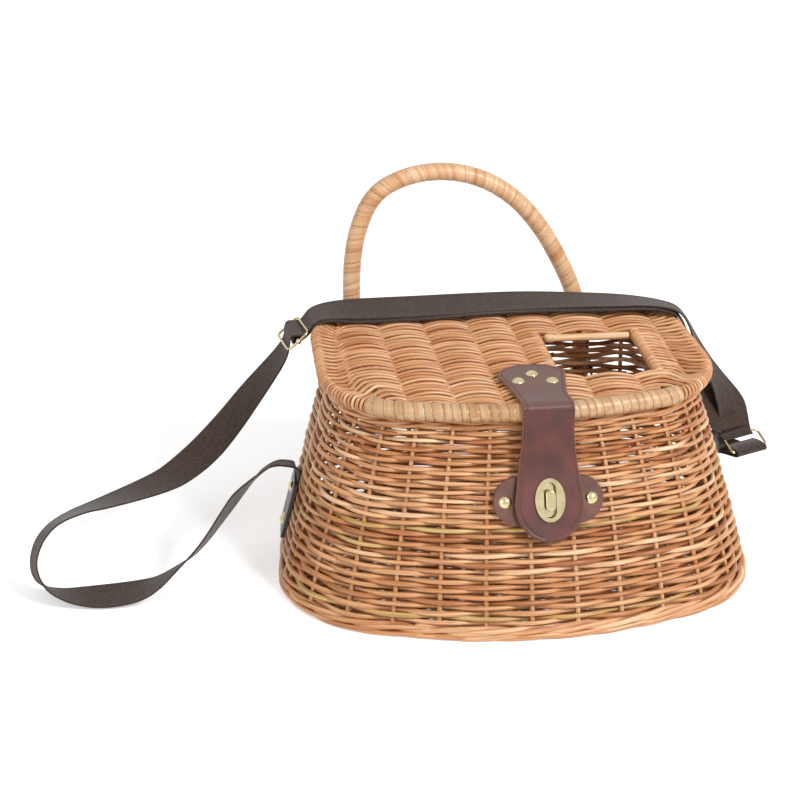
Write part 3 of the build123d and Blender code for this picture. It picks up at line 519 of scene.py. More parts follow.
# ---- Woven lid ---------------------------------------------------------------------------
# Seven ribs run from the front rod to the back rod. Rods woven over and under them from side
# to side turn round the lid's side rods, and round the two ribs that stand beside the fish hole.
LID_Z = 164.0
RIBS = np.array([-112.0, -76.0, -40.0, -4.0, 27.0, 68.0, 109.0])
RIB_RADIUS, STRAND_RADIUS = 2.3, 1.5
STRAND_DEPTH = 3.6
FRAME_CORE, TURN_RADIUS = 3.4, 4.75   # the side rod's own radius, and that of the turns round it
STRANDS, FIRST_STRAND, LAST_STRAND = 62, -81.0, 98.5
HOLE_Y = (-27.0, 46.0)
LEFT_OF_HOLE, RIGHT_OF_HOLE = 4, 6    # numbers of the ribs beside the hole
RIB_GAP = 36.0                        # from an outer rib to where the next one would be
EDGE_EASE = 10.0                      # a strand leaves its row over this length at either end

lid_ring = outline_edges(LID_CORNERS, LID_RADII)
lid_length = edge_lengths(lid_ring).sum()
lid_run = np.linspace(0, lid_length, 4000, endpoint=False)
lid_line, _ = along_outline(lid_ring, lid_run)


def side_places(side):
    """Where each strand turns round the side rod: points in plan and the way out there."""
    on = (lid_line[:, 0] * side > 60) & (lid_line[:, 1] > FIRST_STRAND - 3) & (lid_line[:, 1] < 104)
    run, y = lid_run[on], lid_line[on, 1]
    run = np.where((run < lid_length / 2) & (side < 0), run + lid_length, run)
    run, y = run[np.argsort(y)], np.sort(y)
    by_depth = np.interp(np.linspace(FIRST_STRAND, LAST_STRAND, STRANDS), y, run)
    by_length = np.linspace(by_depth[0], by_depth[-1], STRANDS)
    return along_outline(lid_ring, (0.45 * by_depth + 0.55 * by_length) % lid_length)


lid_ribs = Rods(6)
for number, x in enumerate(RIBS):
    low, high = reach(lid_line, x, 1)
    stretches = [(low + 4, high - 4)]
    if LEFT_OF_HOLE < number < RIGHT_OF_HOLE:
        stretches = [(low + 4, HOLE_Y[0] - 3), (HOLE_Y[1] + 7, high - 4)]
    for start, end in stretches:
        y = np.linspace(start, end, 14)
        lid_ribs.add(np.column_stack([np.full(14, x), y, np.full(14, LID_Z)]), RIB_RADIUS, (0, 0, 1),
                     tone=0.35)
rib_piece = lid_ribs.build("lid_ribs_rods", willow, "lid")
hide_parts("lid_ribs")

strands = Rods(7)
lid_dice = np.random.default_rng(71)
left_points, left_out = side_places(-1)
right_points, right_out = side_places(1)
UP = np.array([0.0, 0.0, 1.0])


def turn_round(point, out):
    """The turn of a strand's end round the side rod, from under it up to its top."""
    angles = np.radians(np.linspace(-175, 78, 15))[:, None]
    centre = np.array([*point, LID_Z])
    return centre + TURN_RADIUS * (np.cos(angles) * np.array([*out, 0.0]) + np.sin(angles) * UP)


def rib_turn(x, y, way, over):
    """The turn of a strand's end round a rib beside the hole."""
    angles = np.radians(np.linspace(80, -190, 13) if over else np.linspace(-80, 190, 13))
    radius = RIB_RADIUS + STRAND_RADIUS - 0.3
    return np.column_stack([x + way * radius * np.cos(angles), np.full(13, y),
                            LID_Z + radius * np.sin(angles)])


def middle_run(x_low, x_high, y_low, y_high, row, number):
    """The woven middle of a strand between two places."""
    x = np.arange(x_low, x_high, 3.4)
    last = len(RIBS) - 1
    q = np.interp(x, RIBS, np.arange(len(RIBS)))
    q = np.where(x < RIBS[0], (x - RIBS[0]) / RIB_GAP, q)
    q = np.where(x > RIBS[-1], last + (x - RIBS[-1]) / RIB_GAP, q)
    wave = np.cos(math.pi * (q + number))
    z = LID_Z + STRAND_DEPTH * np.sign(wave) * np.abs(wave) ** 0.8
    edge = np.clip(1 - np.minimum(x - x_low, x_high - x) / EDGE_EASE, 0, 1)
    ease = 0.5 - 0.5 * np.cos(math.pi * np.clip((x - x_low) / max(x_high - x_low, 1), 0, 1))
    gather = 0.85 * np.sin(2 * math.pi * number / 7 + 2.3 * q) + 0.3 * np.sin(1.7 * number + 1.1 * q)
    straight = y_low + (y_high - y_low) * ease
    y = straight + (row - straight) * (1 - edge)
    return np.column_stack([x, y + gather * (1 - edge), z])


def smooth_line(points, detail=4):
    """A rounded line through points."""
    curve = bpy.data.curves.new("line", "CURVE")
    curve.dimensions, curve.resolution_u = "3D", detail
    spline = curve.splines.new("NURBS")
    spline.points.add(len(points) - 1)
    for mark, place in zip(spline.points, points):
        mark.co = (*place, 1.0)
    spline.order_u, spline.use_endpoint_u = 3, True
    holder = bpy.data.objects.new("line", curve)
    mesh = bpy.data.meshes.new_from_object(holder)
    line = np.array([v.co for v in mesh.vertices])
    bpy.data.objects.remove(holder)
    bpy.data.curves.remove(curve)
    bpy.data.meshes.remove(mesh)
    return line


INSIDE_ROD = 9.0                      # the woven middle starts this far inside the side rod
SIDEWAYS = 0.45                       # a strand turns round the rod where this much faces aside
for number, row in enumerate(np.linspace(FIRST_STRAND, LAST_STRAND, STRANDS)):
    left, right = left_points[number], right_points[number]
    to_left, to_right = left_out[number], right_out[number]
    thick = STRAND_RADIUS * (1 + lid_dice.normal(0, 0.06))
    tone = float(np.clip(lid_dice.normal(0.55, 0.22), 0.05, 0.93))
    start, end = left - to_left * INSIDE_ROD, right - to_right * INSIDE_ROD
    first = [turn_round(left, to_left)] if abs(to_left[0]) > SIDEWAYS else []
    last = [turn_round(right, to_right)[::-1]] if abs(to_right[0]) > SIDEWAYS else []
    if HOLE_Y[0] - 1.0 < row < HOLE_Y[1] + 5.5:
        hole_left, hole_right = RIBS[LEFT_OF_HOLE], RIBS[RIGHT_OF_HOLE]
        over_left = (number + LEFT_OF_HOLE) % 2 == 0
        over_right = (number + RIGHT_OF_HOLE) % 2 == 0
        parts = [first + [middle_run(start[0], hole_left - 4, start[1], row, row, number),
                          rib_turn(hole_left, row, 1, over_left)],
                 [rib_turn(hole_right, row, -1, over_right)[::-1],
                  middle_run(hole_right + 4, end[0], row, end[1], row, number)] + last]
    else:
        parts = [first + [middle_run(start[0], end[0], start[1], end[1], row, number)] + last]
    for part in parts:
        line = smooth_line(np.vstack(part))
        strands.add(line, thick * (1 + 0.05 * np.sin(line[:, 0] / 23 + number)), (0, 1, 0.02), tone=tone)
strand_piece = strands.build("lid_weave", willow, "lid")
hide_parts("lid_panel")

# ---- Lid frame ---------------------------------------------------------------------------
# One bent willow rod runs round the lid. The strands turn round its sides, a thin rod is wound
# round its back, and its front is bound edge to edge with flat split cane.
BACK_PITCH, BACK_FROM_Y = 3.7, 99.5     # the winding round the back rod and where it starts
BIND_LEFT, BIND_RIGHT = -123.0, 114.0   # where the front binding starts and ends
BIND_CORE, BIND_THICK = 6.1, 0.9


def evenly(line, step):
    """The same line with its points evenly spaced."""
    run = distance_along(line)
    places = np.linspace(0, run[-1], int(run[-1] / step) + 1)
    return np.column_stack([np.interp(places, run, line[:, i]) for i in range(3)])


def lid_stretch(run):
    """Points of the lid's rod at distances along it, and the directions out of the lid."""
    points, out = along_outline(lid_ring, run % lid_length)
    return (np.column_stack([points, np.full(len(run), LID_Z)]),
            np.column_stack([out, np.zeros(len(run))]))


lid_rods = Rods(8)
core_line, _ = lid_stretch(np.linspace(0, lid_length, 420, endpoint=False))
lid_rods.add(core_line, FRAME_CORE, (0, 0, 1), sides=10, closed=True, tone=0.3)
short_of_back = lid_line[:, 1] < BACK_FROM_Y
right_run = lid_run[(lid_line[:, 0] > 60) & short_of_back].max()
left_run = lid_run[(lid_line[:, 0] < -60) & short_of_back & (lid_run > right_run)].min()
coil_run = np.arange(right_run, left_run, BACK_PITCH / 12)
coil_middle, coil_out = lid_stretch(coil_run)
coil_turn = 2 * math.pi * (coil_run / BACK_PITCH)[:, None]
coil = coil_middle + TURN_RADIUS * (np.cos(coil_turn) * coil_out + np.sin(coil_turn) * UP)
coil_tone = 0.5 + 0.3 * np.sin(coil_run / 23)[:, None]
lid_rods.add(coil, 1.45, coil - coil_middle, sides=7, tone=coil_tone)
frame_piece = lid_rods.build("lid_rods", willow, "lid")
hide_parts("lid_frame")


def wind(rods, line, core, thick, widths, up, sides, dice):
    """A rod wound edge to edge with a spiral of flat cane, whose turns have these widths."""
    run = distance_along(line)
    marks = np.concatenate([[0], np.cumsum(widths)])
    numbers = np.arange(len(marks) + 2)
    place = np.interp(run, marks, numbers[:-2])[:, None] + np.arange(sides) / sides
    width = np.interp(run, marks[:-1], widths)[:, None]
    across = place % 1
    edge = np.minimum(across, 1 - across) * width
    tilt = np.interp(place, numbers, dice.uniform(-0.5, 0.5, len(numbers)))
    rise = thick * np.clip(edge / 0.75, 0, 1) ** 0.6 + 0.5 * tilt * (across - 0.5)
    tone = np.interp(place, numbers, np.clip(dice.normal(0.5, 0.24, len(numbers)), 0, 1))
    # The strip's third part is its nearness to an edge, which sets the painted shade in the seams.
    strip = np.stack([place * 2 * math.pi * core, across * width, np.clip(edge / 0.55, 0, 1)], -1)
    rods.add(line, core + rise, up, sides=sides, tone=tone, grain=strip)


# Split cane: the glossy outer skin of rattan, pale straw when new and honey tan with handling,
# with fine lines along the strip and painted shade in the seams between the turns.
def cane_material(name, stops, seam):
    """Cane whose colour follows each turn's tone, and whose painted shade darkens the strip's edges."""
    made, tree, surface = new_material(name)
    tone = node(tree, "Attribute", attribute_name="tone")
    grain = node(tree, "Attribute", attribute_name="grain")
    colour = node(tree, "ValToRGB", {"Fac": tone.outputs["Fac"]}, stops=stops)
    lengthwise = node(tree, "Mapping", {"Vector": grain.outputs["Vector"], "Scale": (0.05, 1.6, 0.0)})
    lines = node(tree, "TexNoise", {"Vector": lengthwise.outputs[0], "Scale": 1.0, "Detail": 3.0})
    shade = node(tree, "ValToRGB", {"Fac": lines.outputs["Fac"]},
                 stops=[(0.3, "#c79a62"), (0.6, "#ffffff")])
    lined = node(tree, "MixRGB", {"Fac": 0.55, "Color1": colour.outputs[0],
                                  "Color2": shade.outputs[0]}, blend_type="MULTIPLY")
    worn = node(tree, "Mapping", {"Vector": grain.outputs["Vector"], "Scale": (0.06, 0.12, 0.0)})
    patches = node(tree, "TexNoise", {"Vector": worn.outputs[0], "Scale": 1.0, "Detail": 2.0})
    warm = node(tree, "ValToRGB", {"Fac": patches.outputs["Fac"]},
                stops=[(0.35, "#ffffff"), (0.7, "#e2b07a")])
    warmed = node(tree, "MixRGB", {"Fac": 0.6, "Color1": lined.outputs[0],
                                   "Color2": warm.outputs[0]}, blend_type="MULTIPLY")
    # Painted shade: each strip's colour darkens towards its edges, into the seams between the turns.
    parts = node(tree, "SeparateXYZ", {"Vector": grain.outputs["Vector"]})
    painted_seam_shade = node(tree, "ValToRGB", {"Fac": parts.outputs["Z"]}, stops=[(0.05, seam), (0.75, "#ffffff")])
    seam_shaded = node(tree, "MixRGB", {"Fac": 1.0, "Color1": warmed.outputs[0],
                                   "Color2": painted_seam_shade.outputs[0]}, blend_type="MULTIPLY")
    tree.links.new(seam_shaded.outputs[0], surface.inputs["Base Color"])
    gloss = node(tree, "MapRange", {"Value": patches.outputs["Fac"], "To Min": 0.28, "To Max": 0.48})
    tree.links.new(gloss.outputs[0], surface.inputs["Roughness"])
    fibre = node(tree, "Bump", {"Height": lines.outputs["Fac"], "Strength": 0.2, "Distance": 0.0002})
    tree.links.new(fibre.outputs[0], surface.inputs["Normal"])
    return made


# The last colour given is the painted shade in the seams.
straw_cane = cane_material("pale_straw_cane", [
    (0.0, "#b29166"), (0.35, "#c2a27a"), (0.7, "#cfb38f"), (1.0, "#bd9c70")], "#5f4026")

binding = Rods(9)
binding_dice = np.random.default_rng(91)
front_run = lid_run[(lid_line[:, 1] < 0) & (lid_line[:, 0] < BIND_RIGHT) & (lid_run < right_run)].max()
behind = lid_run[(lid_line[:, 1] < 0) & (lid_line[:, 0] > BIND_LEFT) & (lid_run > right_run)]
front_line, _ = lid_stretch(np.arange(behind.min() - lid_length, front_run, 0.55))
bind_widths = binding_dice.uniform(4.6, 8.6, 60)
wind(binding, front_line, BIND_CORE, BIND_THICK, bind_widths, (0, 0, 1), 22, binding_dice)
binding_piece = binding.build("lid_front_cane", straw_cane, "lid")
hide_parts("lid_front_binding")

# ---- Rod at the fish hole ----------------------------------------------------------------
# A short rod of pale peeled willow with a knob at its left end. It closes the back edge of the
# fish hole, between the two ribs that stand beside the hole.
HOLE_ROD_LEFT, HOLE_ROD_Y, HOLE_ROD_LENGTH = 34.0, 49.2, 69.0
KNOB = [                              # distances from the left end, and the radius there
    (0.0, 1.6), (1.0, 3.0), (3.0, 3.7), (6.0, 3.6), (8.5, 2.6), (12.0, 2.9), (40.0, 3.1),
    (HOLE_ROD_LENGTH, 2.9)]
hole_rods = Rods(10)
rod_run = np.linspace(0, HOLE_ROD_LENGTH, 70)
rod_radius = np.interp(rod_run, *zip(*KNOB))
rod_line = np.column_stack([HOLE_ROD_LEFT + rod_run, HOLE_ROD_Y + 0.3 * np.sin(rod_run / 14),
                            LID_Z + 0 * rod_run])
hole_rods.add(rod_line, rod_radius, (0, 0, 1), sides=12, tone=0.94)
hole_rod_piece = hole_rods.build("hole_rod", willow, "lid")
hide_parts("hole_edge_rod")

# ---- Handle ------------------------------------------------------------------------------
# A hoop of thick rattan, wound edge to edge with flat honey-coloured cane. Both legs run down
# behind the basket, where two lashings of split cane tie each of them to the wall.
HANDLE_CORE, HANDLE_THICK, LEG_Y = 6.25, 0.85, 107.1
HANDLE = [
    (-110, LEG_Y, 84), (-110, LEG_Y, 128), (-110, 117.4, 150), (-110, 121.2, 176),
    (-110, 123.4, 203), (-106, 125.4, 232), (-94, 127.4, 261), (-70, 129.4, 275),
    (-38, 130.4, 279.5), (-6, 129.4, 273), (22, 127.4, 256), (44, 125.4, 231),
    (61, 123.4, 202), (74, 121.4, 174), (79, 117.4, 150), (80, LEG_Y, 128), (80, LEG_Y, 84)]
LASHINGS_Z, LASHING_STRIPS, STRIP = (94.0, 111.0), (-3.7, 0.0, 3.7), 3.6
LASH_RADIUS, LASH_START, LASH_END = 7.95, -4.0, -9.5    # round the leg, then through the wall

# The last colour given is the painted shade in the seams.
honey_cane = cane_material("honey_cane", [
    (0.0, "#c59a6e"), (0.35, "#d6b087"), (0.7, "#e0c09b"), (1.0, "#e8cdac")], "#6a4626")

handle = Rods(11)
handle_dice = np.random.default_rng(111)
handle_line = evenly(smooth_line(HANDLE, 16), 0.7)
handle_widths = handle_dice.uniform(7.0, 12.5, 90)
wind(handle, handle_line, HANDLE_CORE, HANDLE_THICK, handle_widths, (0, 1, 0), 24, handle_dice)
handle_piece = handle.build("handle_cane", honey_cane, "basket")
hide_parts("handle_core", "handle_wrapping")

lashings = Rods(12)
back_turn = np.radians(np.linspace(0, 180, 19))
lash_x = np.concatenate([[1, 1], np.cos(back_turn), [-1, -1]]) * LASH_RADIUS
lash_y = np.concatenate([[LASH_END, LASH_START], np.sin(back_turn) * LASH_RADIUS,
                         [LASH_START, LASH_END]])
lash_out = np.column_stack([lash_x, np.maximum(lash_y, 0), 0 * lash_x])
for leg_x in (HANDLE[0][0], HANDLE[-1][0]):
    for height in LASHINGS_Z:
        for strip in LASHING_STRIPS:
            line = np.column_stack([leg_x + lash_x, LEG_Y + lash_y, height + strip + 0.04 * lash_x])
            lashings.add(line, STRIP / 2, lash_out, flat=0.3, sides=10)
lashing_piece = lashings.build("handle_lashing_strips", straw_cane, "basket")
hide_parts("handle_lashings")

# ---- Lid hinges --------------------------------------------------------------------------
# Two loops of split cane, each of three strips side by side, join the lid to the basket. They
# pass through the rim and round the lid's back rod.
LOOPS = {"hinge_loop_left": -95.0, "hinge_loop_right": 95.0}
HINGE_Y = 106.0
LOOP_RADIUS, LOOP_STRIP, LOOP_TAIL = 6.95, 4.3, 101.6
round_rod = np.radians(np.linspace(222, -128, 34))
loop_y = np.concatenate([[LOOP_TAIL] * 3, HINGE_Y + LOOP_RADIUS * np.cos(round_rod)])
loop_z = np.concatenate([[146.6, 152.0, 157.6], LID_Z + LOOP_RADIUS * np.sin(round_rod)])
loop_out = np.column_stack([0 * loop_y, loop_y - HINGE_Y, loop_z - LID_Z])
loop_out[:3] = (0, -1, 0)
for loop_name, loop_x in LOOPS.items():
    loops = Rods(13)
    for strip in (-1, 0, 1):
        line = np.column_stack([loop_x + strip * LOOP_STRIP + 0.5 * np.sin(loop_z / 5), loop_y, loop_z])
        loops.add(line, LOOP_STRIP / 2, loop_out, flat=0.25, sides=10)
    loop_piece = loops.build(loop_name + "_cane", straw_cane, "basket")
    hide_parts(loop_name)

# ---- Leather closure ---------------------------------------------------------------------
# One strip of bridle leather: its round upper end is riveted to the lid, it bends over the
# lid's front edge and hangs down to the lock. A row of stitches runs inside its edge.
CLOSURE_X, LEATHER = 7.0, 2.5
LOCK = np.array([CLOSURE_X, -102.81, 100.0])
LOCK_UP = np.array([0.0, 0.401825, 0.915716])
END_HALF, NECK_HALF = 26.5, 20.0
TOP_ROUND, LOW_ROUND = 18.0, 29.0     # the lengths of the round ends
STITCH_IN, STITCH_STEP, STITCH_LONG = 3.0, 3.1, 2.3
CLOSURE_LINE = [
    (0, -11.9, 169.6), (0, -40, 169.6), (0, -67, 169.6), (0, -76, 171.0), (0, -82, 172.75),
    (0, -88.5, 172.75), (0, -91.9, 170.2), (0, -91.9, 163.4), (0, -91.95, 158), (0, -93.0, 151),
    (0, -95.4, 138), (0, -98.1, 125.8), (0, -109.7, 99.4), (0, -121.2, 73.3)]
SLOT_HALF = (4.75, 13.5)              # half the width and length of the slot under the eyelet
SLOT_EASE = 0.6


def rounded(distance, depth):
    """The half width near a round end of the leather, at a distance from its tip."""
    return END_HALF * np.sqrt(1 - (1 - np.minimum(distance, depth) / depth) ** 2)


def swelling(along, across):
    """How far the leather's face lies off its flat, in soft waves."""
    return 0.22 * np.sin(along / 17 + 0.6) * np.sin(across / 13 + 1.0)


spine = evenly(smooth_line(CLOSURE_LINE, 16), 0.9)
spine_run = distance_along(spine)
closure_length = spine_run[-1]
spine_out = unit(np.cross((1, 0, 0), np.gradient(spine, axis=0)))
spine_out *= np.sign(spine_out[0, 2])
from_low = closure_length - spine_run
upper = np.interp(spine_run, [TOP_ROUND, 27, 50, 60], [END_HALF, 24.6, NECK_HALF + 0.3, NECK_HALF])
lower = np.interp(from_low, [LOW_ROUND, 38, 76, 90], [END_HALF, 25.4, NECK_HALF + 0.2, NECK_HALF])
half = np.maximum(upper, lower)
half = np.where(spine_run < TOP_ROUND, rounded(spine_run, TOP_ROUND), half)
half = np.where(from_low < LOW_ROUND, rounded(from_low, LOW_ROUND), half)
half = np.maximum(half, 0.5)

# Each row of the face crosses the leather, with its points crowded at the edge and the stitches.
from_edge = np.array([0, 0.12, 0.4, 0.8, 1.3, 1.9, 2.4, 2.75, 3.0, 3.25, 3.6, 4.3])
middle_share = np.linspace(0, 1, 14)[1:]
columns = []
for width in half:
    edge = from_edge * min(1.0, width / 9)
    inner = edge[-1] + (width - edge[-1]) * middle_share
    left = -width + np.concatenate([edge, inner])
    columns.append(np.concatenate([left, -left[-2::-1]]))
columns = np.array(columns)
rows_count, across_count = columns.shape
edge_x = np.concatenate([half, -half[::-1]])
edge_run = np.concatenate([spine_run, spine_run[::-1]])
plan = np.stack([columns, np.broadcast_to(spine_run[:, None], columns.shape)], -1)
to_edge = np.sqrt(((plan[:, :, None] - np.stack([edge_x, edge_run], -1)) ** 2).sum(-1)).min(-1)
to_edge[:, 0] = to_edge[:, -1] = to_edge[0] = to_edge[-1] = 0
to_edge = np.minimum(to_edge, half[:, None] - np.abs(columns))
round_edge = np.sqrt(1 - (1 - np.clip(to_edge / 1.0, 0, 1)) ** 2)
groove = 0.32 * np.exp(-((to_edge - STITCH_IN) / 0.45) ** 2)
swell = swelling(plan[..., 1], columns)
place = spine[:, None] + (CLOSURE_X + columns)[..., None] * (1, 0, 0)
top = place + (LEATHER / 2 * round_edge - groove + swell)[..., None] * spine_out[:, None]
under = place + (-LEATHER / 2 * round_edge + swell)[..., None] * spine_out[:, None]

# The slot is cut out of both faces, and its rim is joined round.
lock_run = spine_run[np.argmin(np.abs((spine - (0, LOCK[1], LOCK[2])) @ LOCK_UP))]
past_middle = np.maximum(np.abs(plan[..., 1] - lock_run) - (SLOT_HALF[1] - SLOT_HALF[0]), 0)
in_slot = np.hypot(past_middle, columns) < SLOT_HALF[0] + SLOT_EASE
corner = in_slot[:-1, :-1] | in_slot[1:, :-1] | in_slot[1:, 1:] | in_slot[:-1, 1:]
index = np.arange(rows_count * across_count).reshape(rows_count, across_count)
a, b, c, d = index[:-1, :-1], index[:-1, 1:], index[1:, 1:], index[1:, :-1]
quads = np.stack([a, d, c, b], -1)[~corner]
below = index.size
leather_faces = quads.tolist() + (quads[:, ::-1] + below).tolist()
edges = dict.fromkeys(pair for quad in quads.tolist() for pair in zip(quad, quad[1:] + quad[:1]))
leather_faces += [[two, one, one + below, two + below] for one, two in edges
                  if (two, one) not in edges]
leather_mesh = bpy.data.meshes.new("closure_leather")
leather_points = np.vstack([top.reshape(-1, 3), under.reshape(-1, 3)])
leather_mesh.from_pydata((leather_points * MM).tolist(), [], leather_faces)
hide_place = np.stack([columns, plan[..., 1], to_edge], -1).reshape(-1, 3)
under_place = hide_place * (1, 1, 0) + (0, 0, -5)
leather_mesh.attributes.new("hide", "FLOAT_VECTOR", "POINT").data.foreach_set(
    "vector", np.vstack([hide_place, under_place]).ravel())
leather_mesh.shade_smooth()


# Bridle leather, dyed dark red-brown and finished with wax: fine pores, a painted greyish reflection of
# the pale sky on its upward faces, and a lighter brown where its edges and its back are raw.
def leather_material(name, low, mid, high, edge):
    """Leather whose colour and pores follow its hide, and whose raw edge has a colour of its own."""
    made, tree, surface = new_material(name)
    hide = node(tree, "Attribute", attribute_name="hide")
    place = hide.outputs["Vector"]
    cloud = node(tree, "TexNoise", {"Vector": place, "Scale": 0.045, "Detail": 4.0})
    colour = node(tree, "ValToRGB", {"Fac": cloud.outputs["Fac"]},
                  stops=[(0.3, low), (0.5, mid), (0.72, high)])
    parts = node(tree, "SeparateXYZ", {"Vector": place})
    cut = node(tree, "MapRange", {"Value": parts.outputs["Z"], "From Min": 0.25, "From Max": 0.9,
                                  "To Min": 1.0, "To Max": 0.0})
    pared = node(tree, "MixRGB", {"Fac": cut.outputs[0], "Color1": colour.outputs[0],
                                  "Color2": linear(edge)})
    pores = node(tree, "TexVoronoi", {"Vector": place, "Scale": 1.5})
    grain = node(tree, "TexNoise", {"Vector": place, "Scale": 1.1, "Detail": 5.0, "Roughness": 0.65})
    height = node(tree, "Math", {0: pores.outputs["Distance"], 1: grain.outputs["Fac"]},
                  operation="ADD")
    rough = node(tree, "Bump", {"Height": height.outputs[0], "Strength": 0.35, "Distance": 0.00025})
    tree.links.new(rough.outputs[0], surface.inputs["Normal"])
    # Painted reflection: faces that point up are mixed towards a greyish pink, as a mirrored pale sky
    # would show on them.
    facing = node(tree, "NewGeometry")
    normal = node(tree, "SeparateXYZ", {"Vector": facing.outputs["Normal"]})
    painted_sheen_share = node(tree, "MapRange", {"Value": normal.outputs["Z"], "From Min": 0.55, "From Max": 1.0,
                                     "To Min": 0.0, "To Max": 0.45})
    painted_sky_reflection = node(tree, "MixRGB", {"Fac": painted_sheen_share.outputs[0], "Color1": pared.outputs[0],
                                  "Color2": linear("#775c56")})
    tree.links.new(painted_sky_reflection.outputs[0], surface.inputs["Base Color"])
    sheen = node(tree, "MapRange", {"Value": grain.outputs["Fac"], "To Min": 0.36, "To Max": 0.56})
    tree.links.new(sheen.outputs[0], surface.inputs["Roughness"])
    surface.inputs["Coat Weight"].default_value = 0.15
    surface.inputs["Coat Roughness"].default_value = 0.35
    return made


red_leather = leather_material("waxed_red_brown_bridle_leather", "#38120c", "#4b1b14", "#5f271c",
                               "#7d4a38")
leather_mesh.materials.append(red_leather)
closure_piece = add_object("closure_leather", leather_mesh)
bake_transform(closure_piece)
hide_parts("closure_strap_top", "closure_flap")

# Waxed linen stitches, laid along a line inside the edge and half sunk in their groove.
STITCH_RADIUS, SEAM_STEP = 0.36, 0.3
stitches = Rods(14)
inner_half = np.maximum(half - STITCH_IN, 0)
seam_x = np.concatenate([inner_half, -inner_half[::-1]])
keep = (edge_run > STITCH_IN) & (edge_run < closure_length - STITCH_IN)
seam = evenly(np.column_stack([seam_x[keep], edge_run[keep], 0 * seam_x[keep]]), SEAM_STEP)
for first in np.arange(0, len(seam) - STITCH_LONG / SEAM_STEP, STITCH_STEP / SEAM_STEP):
    bit = seam[int(first):int(first + STITCH_LONG / SEAM_STEP) + 1:2]
    near = np.searchsorted(spine_run, bit[:, 1]).clip(0, rows_count - 1)
    lift = 1.03 + 0.22 * np.sin(np.linspace(0, math.pi, len(bit))) + swelling(bit[:, 1], bit[:, 0])
    line = spine[near] + spine_out[near] * lift[:, None]
    line[:, 0] = CLOSURE_X + bit[:, 0]
    stitches.add(line, STITCH_RADIUS, spine_out[near], sides=6)
thread, _, thread_surface = new_material("waxed_brown_linen_thread")
thread_surface.inputs["Base Color"].default_value = linear("#7a4a3a")
thread_surface.inputs["Roughness"].default_value = 0.55
stitch_piece = stitches.build("closure_stitches", thread, None)
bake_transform(stitch_piece)

# ---- Patch, side tabs and brass fittings -------------------------------------------------
# A leather patch carries the turn lock and its button, a tab on each side carries the strap, and
# the closure has an oval eyelet. Domed rivets on washers hold them. They are the plain solids,
# with eased edges and the real finishes.


def worked_hide(name, low, mid, high, coat):
    """Oiled cowhide seen from its grain side: pores, soft clouds of dye and a waxy shine."""
    made, tree, surface = new_material(name)
    place = node(tree, "TexCoord").outputs["Object"]
    cloud = node(tree, "TexNoise", {"Vector": place, "Scale": 70.0, "Detail": 4.0})
    colour = node(tree, "ValToRGB", {"Fac": cloud.outputs["Fac"]},
                  stops=[(0.32, low), (0.5, mid), (0.7, high)])
    tree.links.new(colour.outputs[0], surface.inputs["Base Color"])
    pores = node(tree, "TexVoronoi", {"Vector": place, "Scale": 1300.0})
    grain = node(tree, "TexNoise", {"Vector": place, "Scale": 900.0, "Detail": 4.0})
    height = node(tree, "Math", {0: pores.outputs["Distance"], 1: grain.outputs["Fac"]},
                  operation="ADD")
    rough = node(tree, "Bump", {"Height": height.outputs[0], "Strength": 0.4, "Distance": 0.0003})
    tree.links.new(rough.outputs[0], surface.inputs["Normal"])
    shine = node(tree, "MapRange", {"Value": grain.outputs["Fac"], "To Min": 0.32, "To Max": 0.55})
    tree.links.new(shine.outputs[0], surface.inputs["Roughness"])
    surface.inputs["Coat Weight"].default_value = coat
    surface.inputs["Coat Roughness"].default_value = 0.3
    return made


# Red-brown hide for the lock's patch, and hide dyed almost black for the strap's tabs.
patch_hide = worked_hide("oiled_red_brown_hide", "#45241c", "#5a3227", "#6e4334", 0.12)
tab_hide = worked_hide("black_brown_hide", "#1f1613", "#2b1f1b", "#3a2a24", 0.2)

# Pale brass, polished and lacquered, a little duller in soft patches.
brass, brass_tree, brass_surface = new_material("pale_polished_brass")
brass_place = node(brass_tree, "TexCoord").outputs["Object"]
tarnish = node(brass_tree, "TexNoise", {"Vector": brass_place, "Scale": 150.0, "Detail": 4.0})
brass_colour = node(brass_tree, "ValToRGB", {"Fac": tarnish.outputs["Fac"]},
                    stops=[(0.22, "#b0a070"), (0.42, "#cdbd90"), (0.7, "#dccfa8")])
brass_tree.links.new(brass_colour.outputs[0], brass_surface.inputs["Base Color"])
brass_surface.inputs["Metallic"].default_value = 1.0
brass_polish = node(brass_tree, "MapRange", {"Value": tarnish.outputs["Fac"], "To Min": 0.28,
                                             "To Max": 0.12})
brass_tree.links.new(brass_polish.outputs[0], brass_surface.inputs["Roughness"])
brass_marks = node(brass_tree, "TexNoise", {"Vector": brass_place, "Scale": 1400.0})
brass_bump = node(brass_tree, "Bump", {"Height": brass_marks.outputs["Fac"], "Strength": 0.03,
                                       "Distance": 0.0002})
brass_tree.links.new(brass_bump.outputs[0], brass_surface.inputs["Normal"])

FITTINGS = {                  # each fitting's finish, and how far its edges are eased
    "latch_patch": (patch_hide, 0.5), "strap_tab_left": (tab_hide, 0.6),
    "strap_tab_right": (tab_hide, 0.6), "turnlock_base": (brass, 0.3), "turn_button": (brass, 0.3),
    "eyelet_front": (brass, 0.5), "eyelet_back": (brass, 0.2)}
for riveted in ("latch_patch", "closure", "strap_tab_left", "strap_tab_right"):
    FITTINGS[riveted + "_rivets"] = (brass, 0)
    FITTINGS[riveted + "_washers"] = (brass, 0.2)
for name, (finish, ease) in FITTINGS.items():
    fitting = bpy.data.objects[name]
    for slot in fitting.material_slots:
        slot.material = finish
    if ease:
        eased = fitting.modifiers.new("eased_edges", "BEVEL")
        eased.width, eased.segments, eased.angle_limit = ease * MM, 2, math.radians(40)

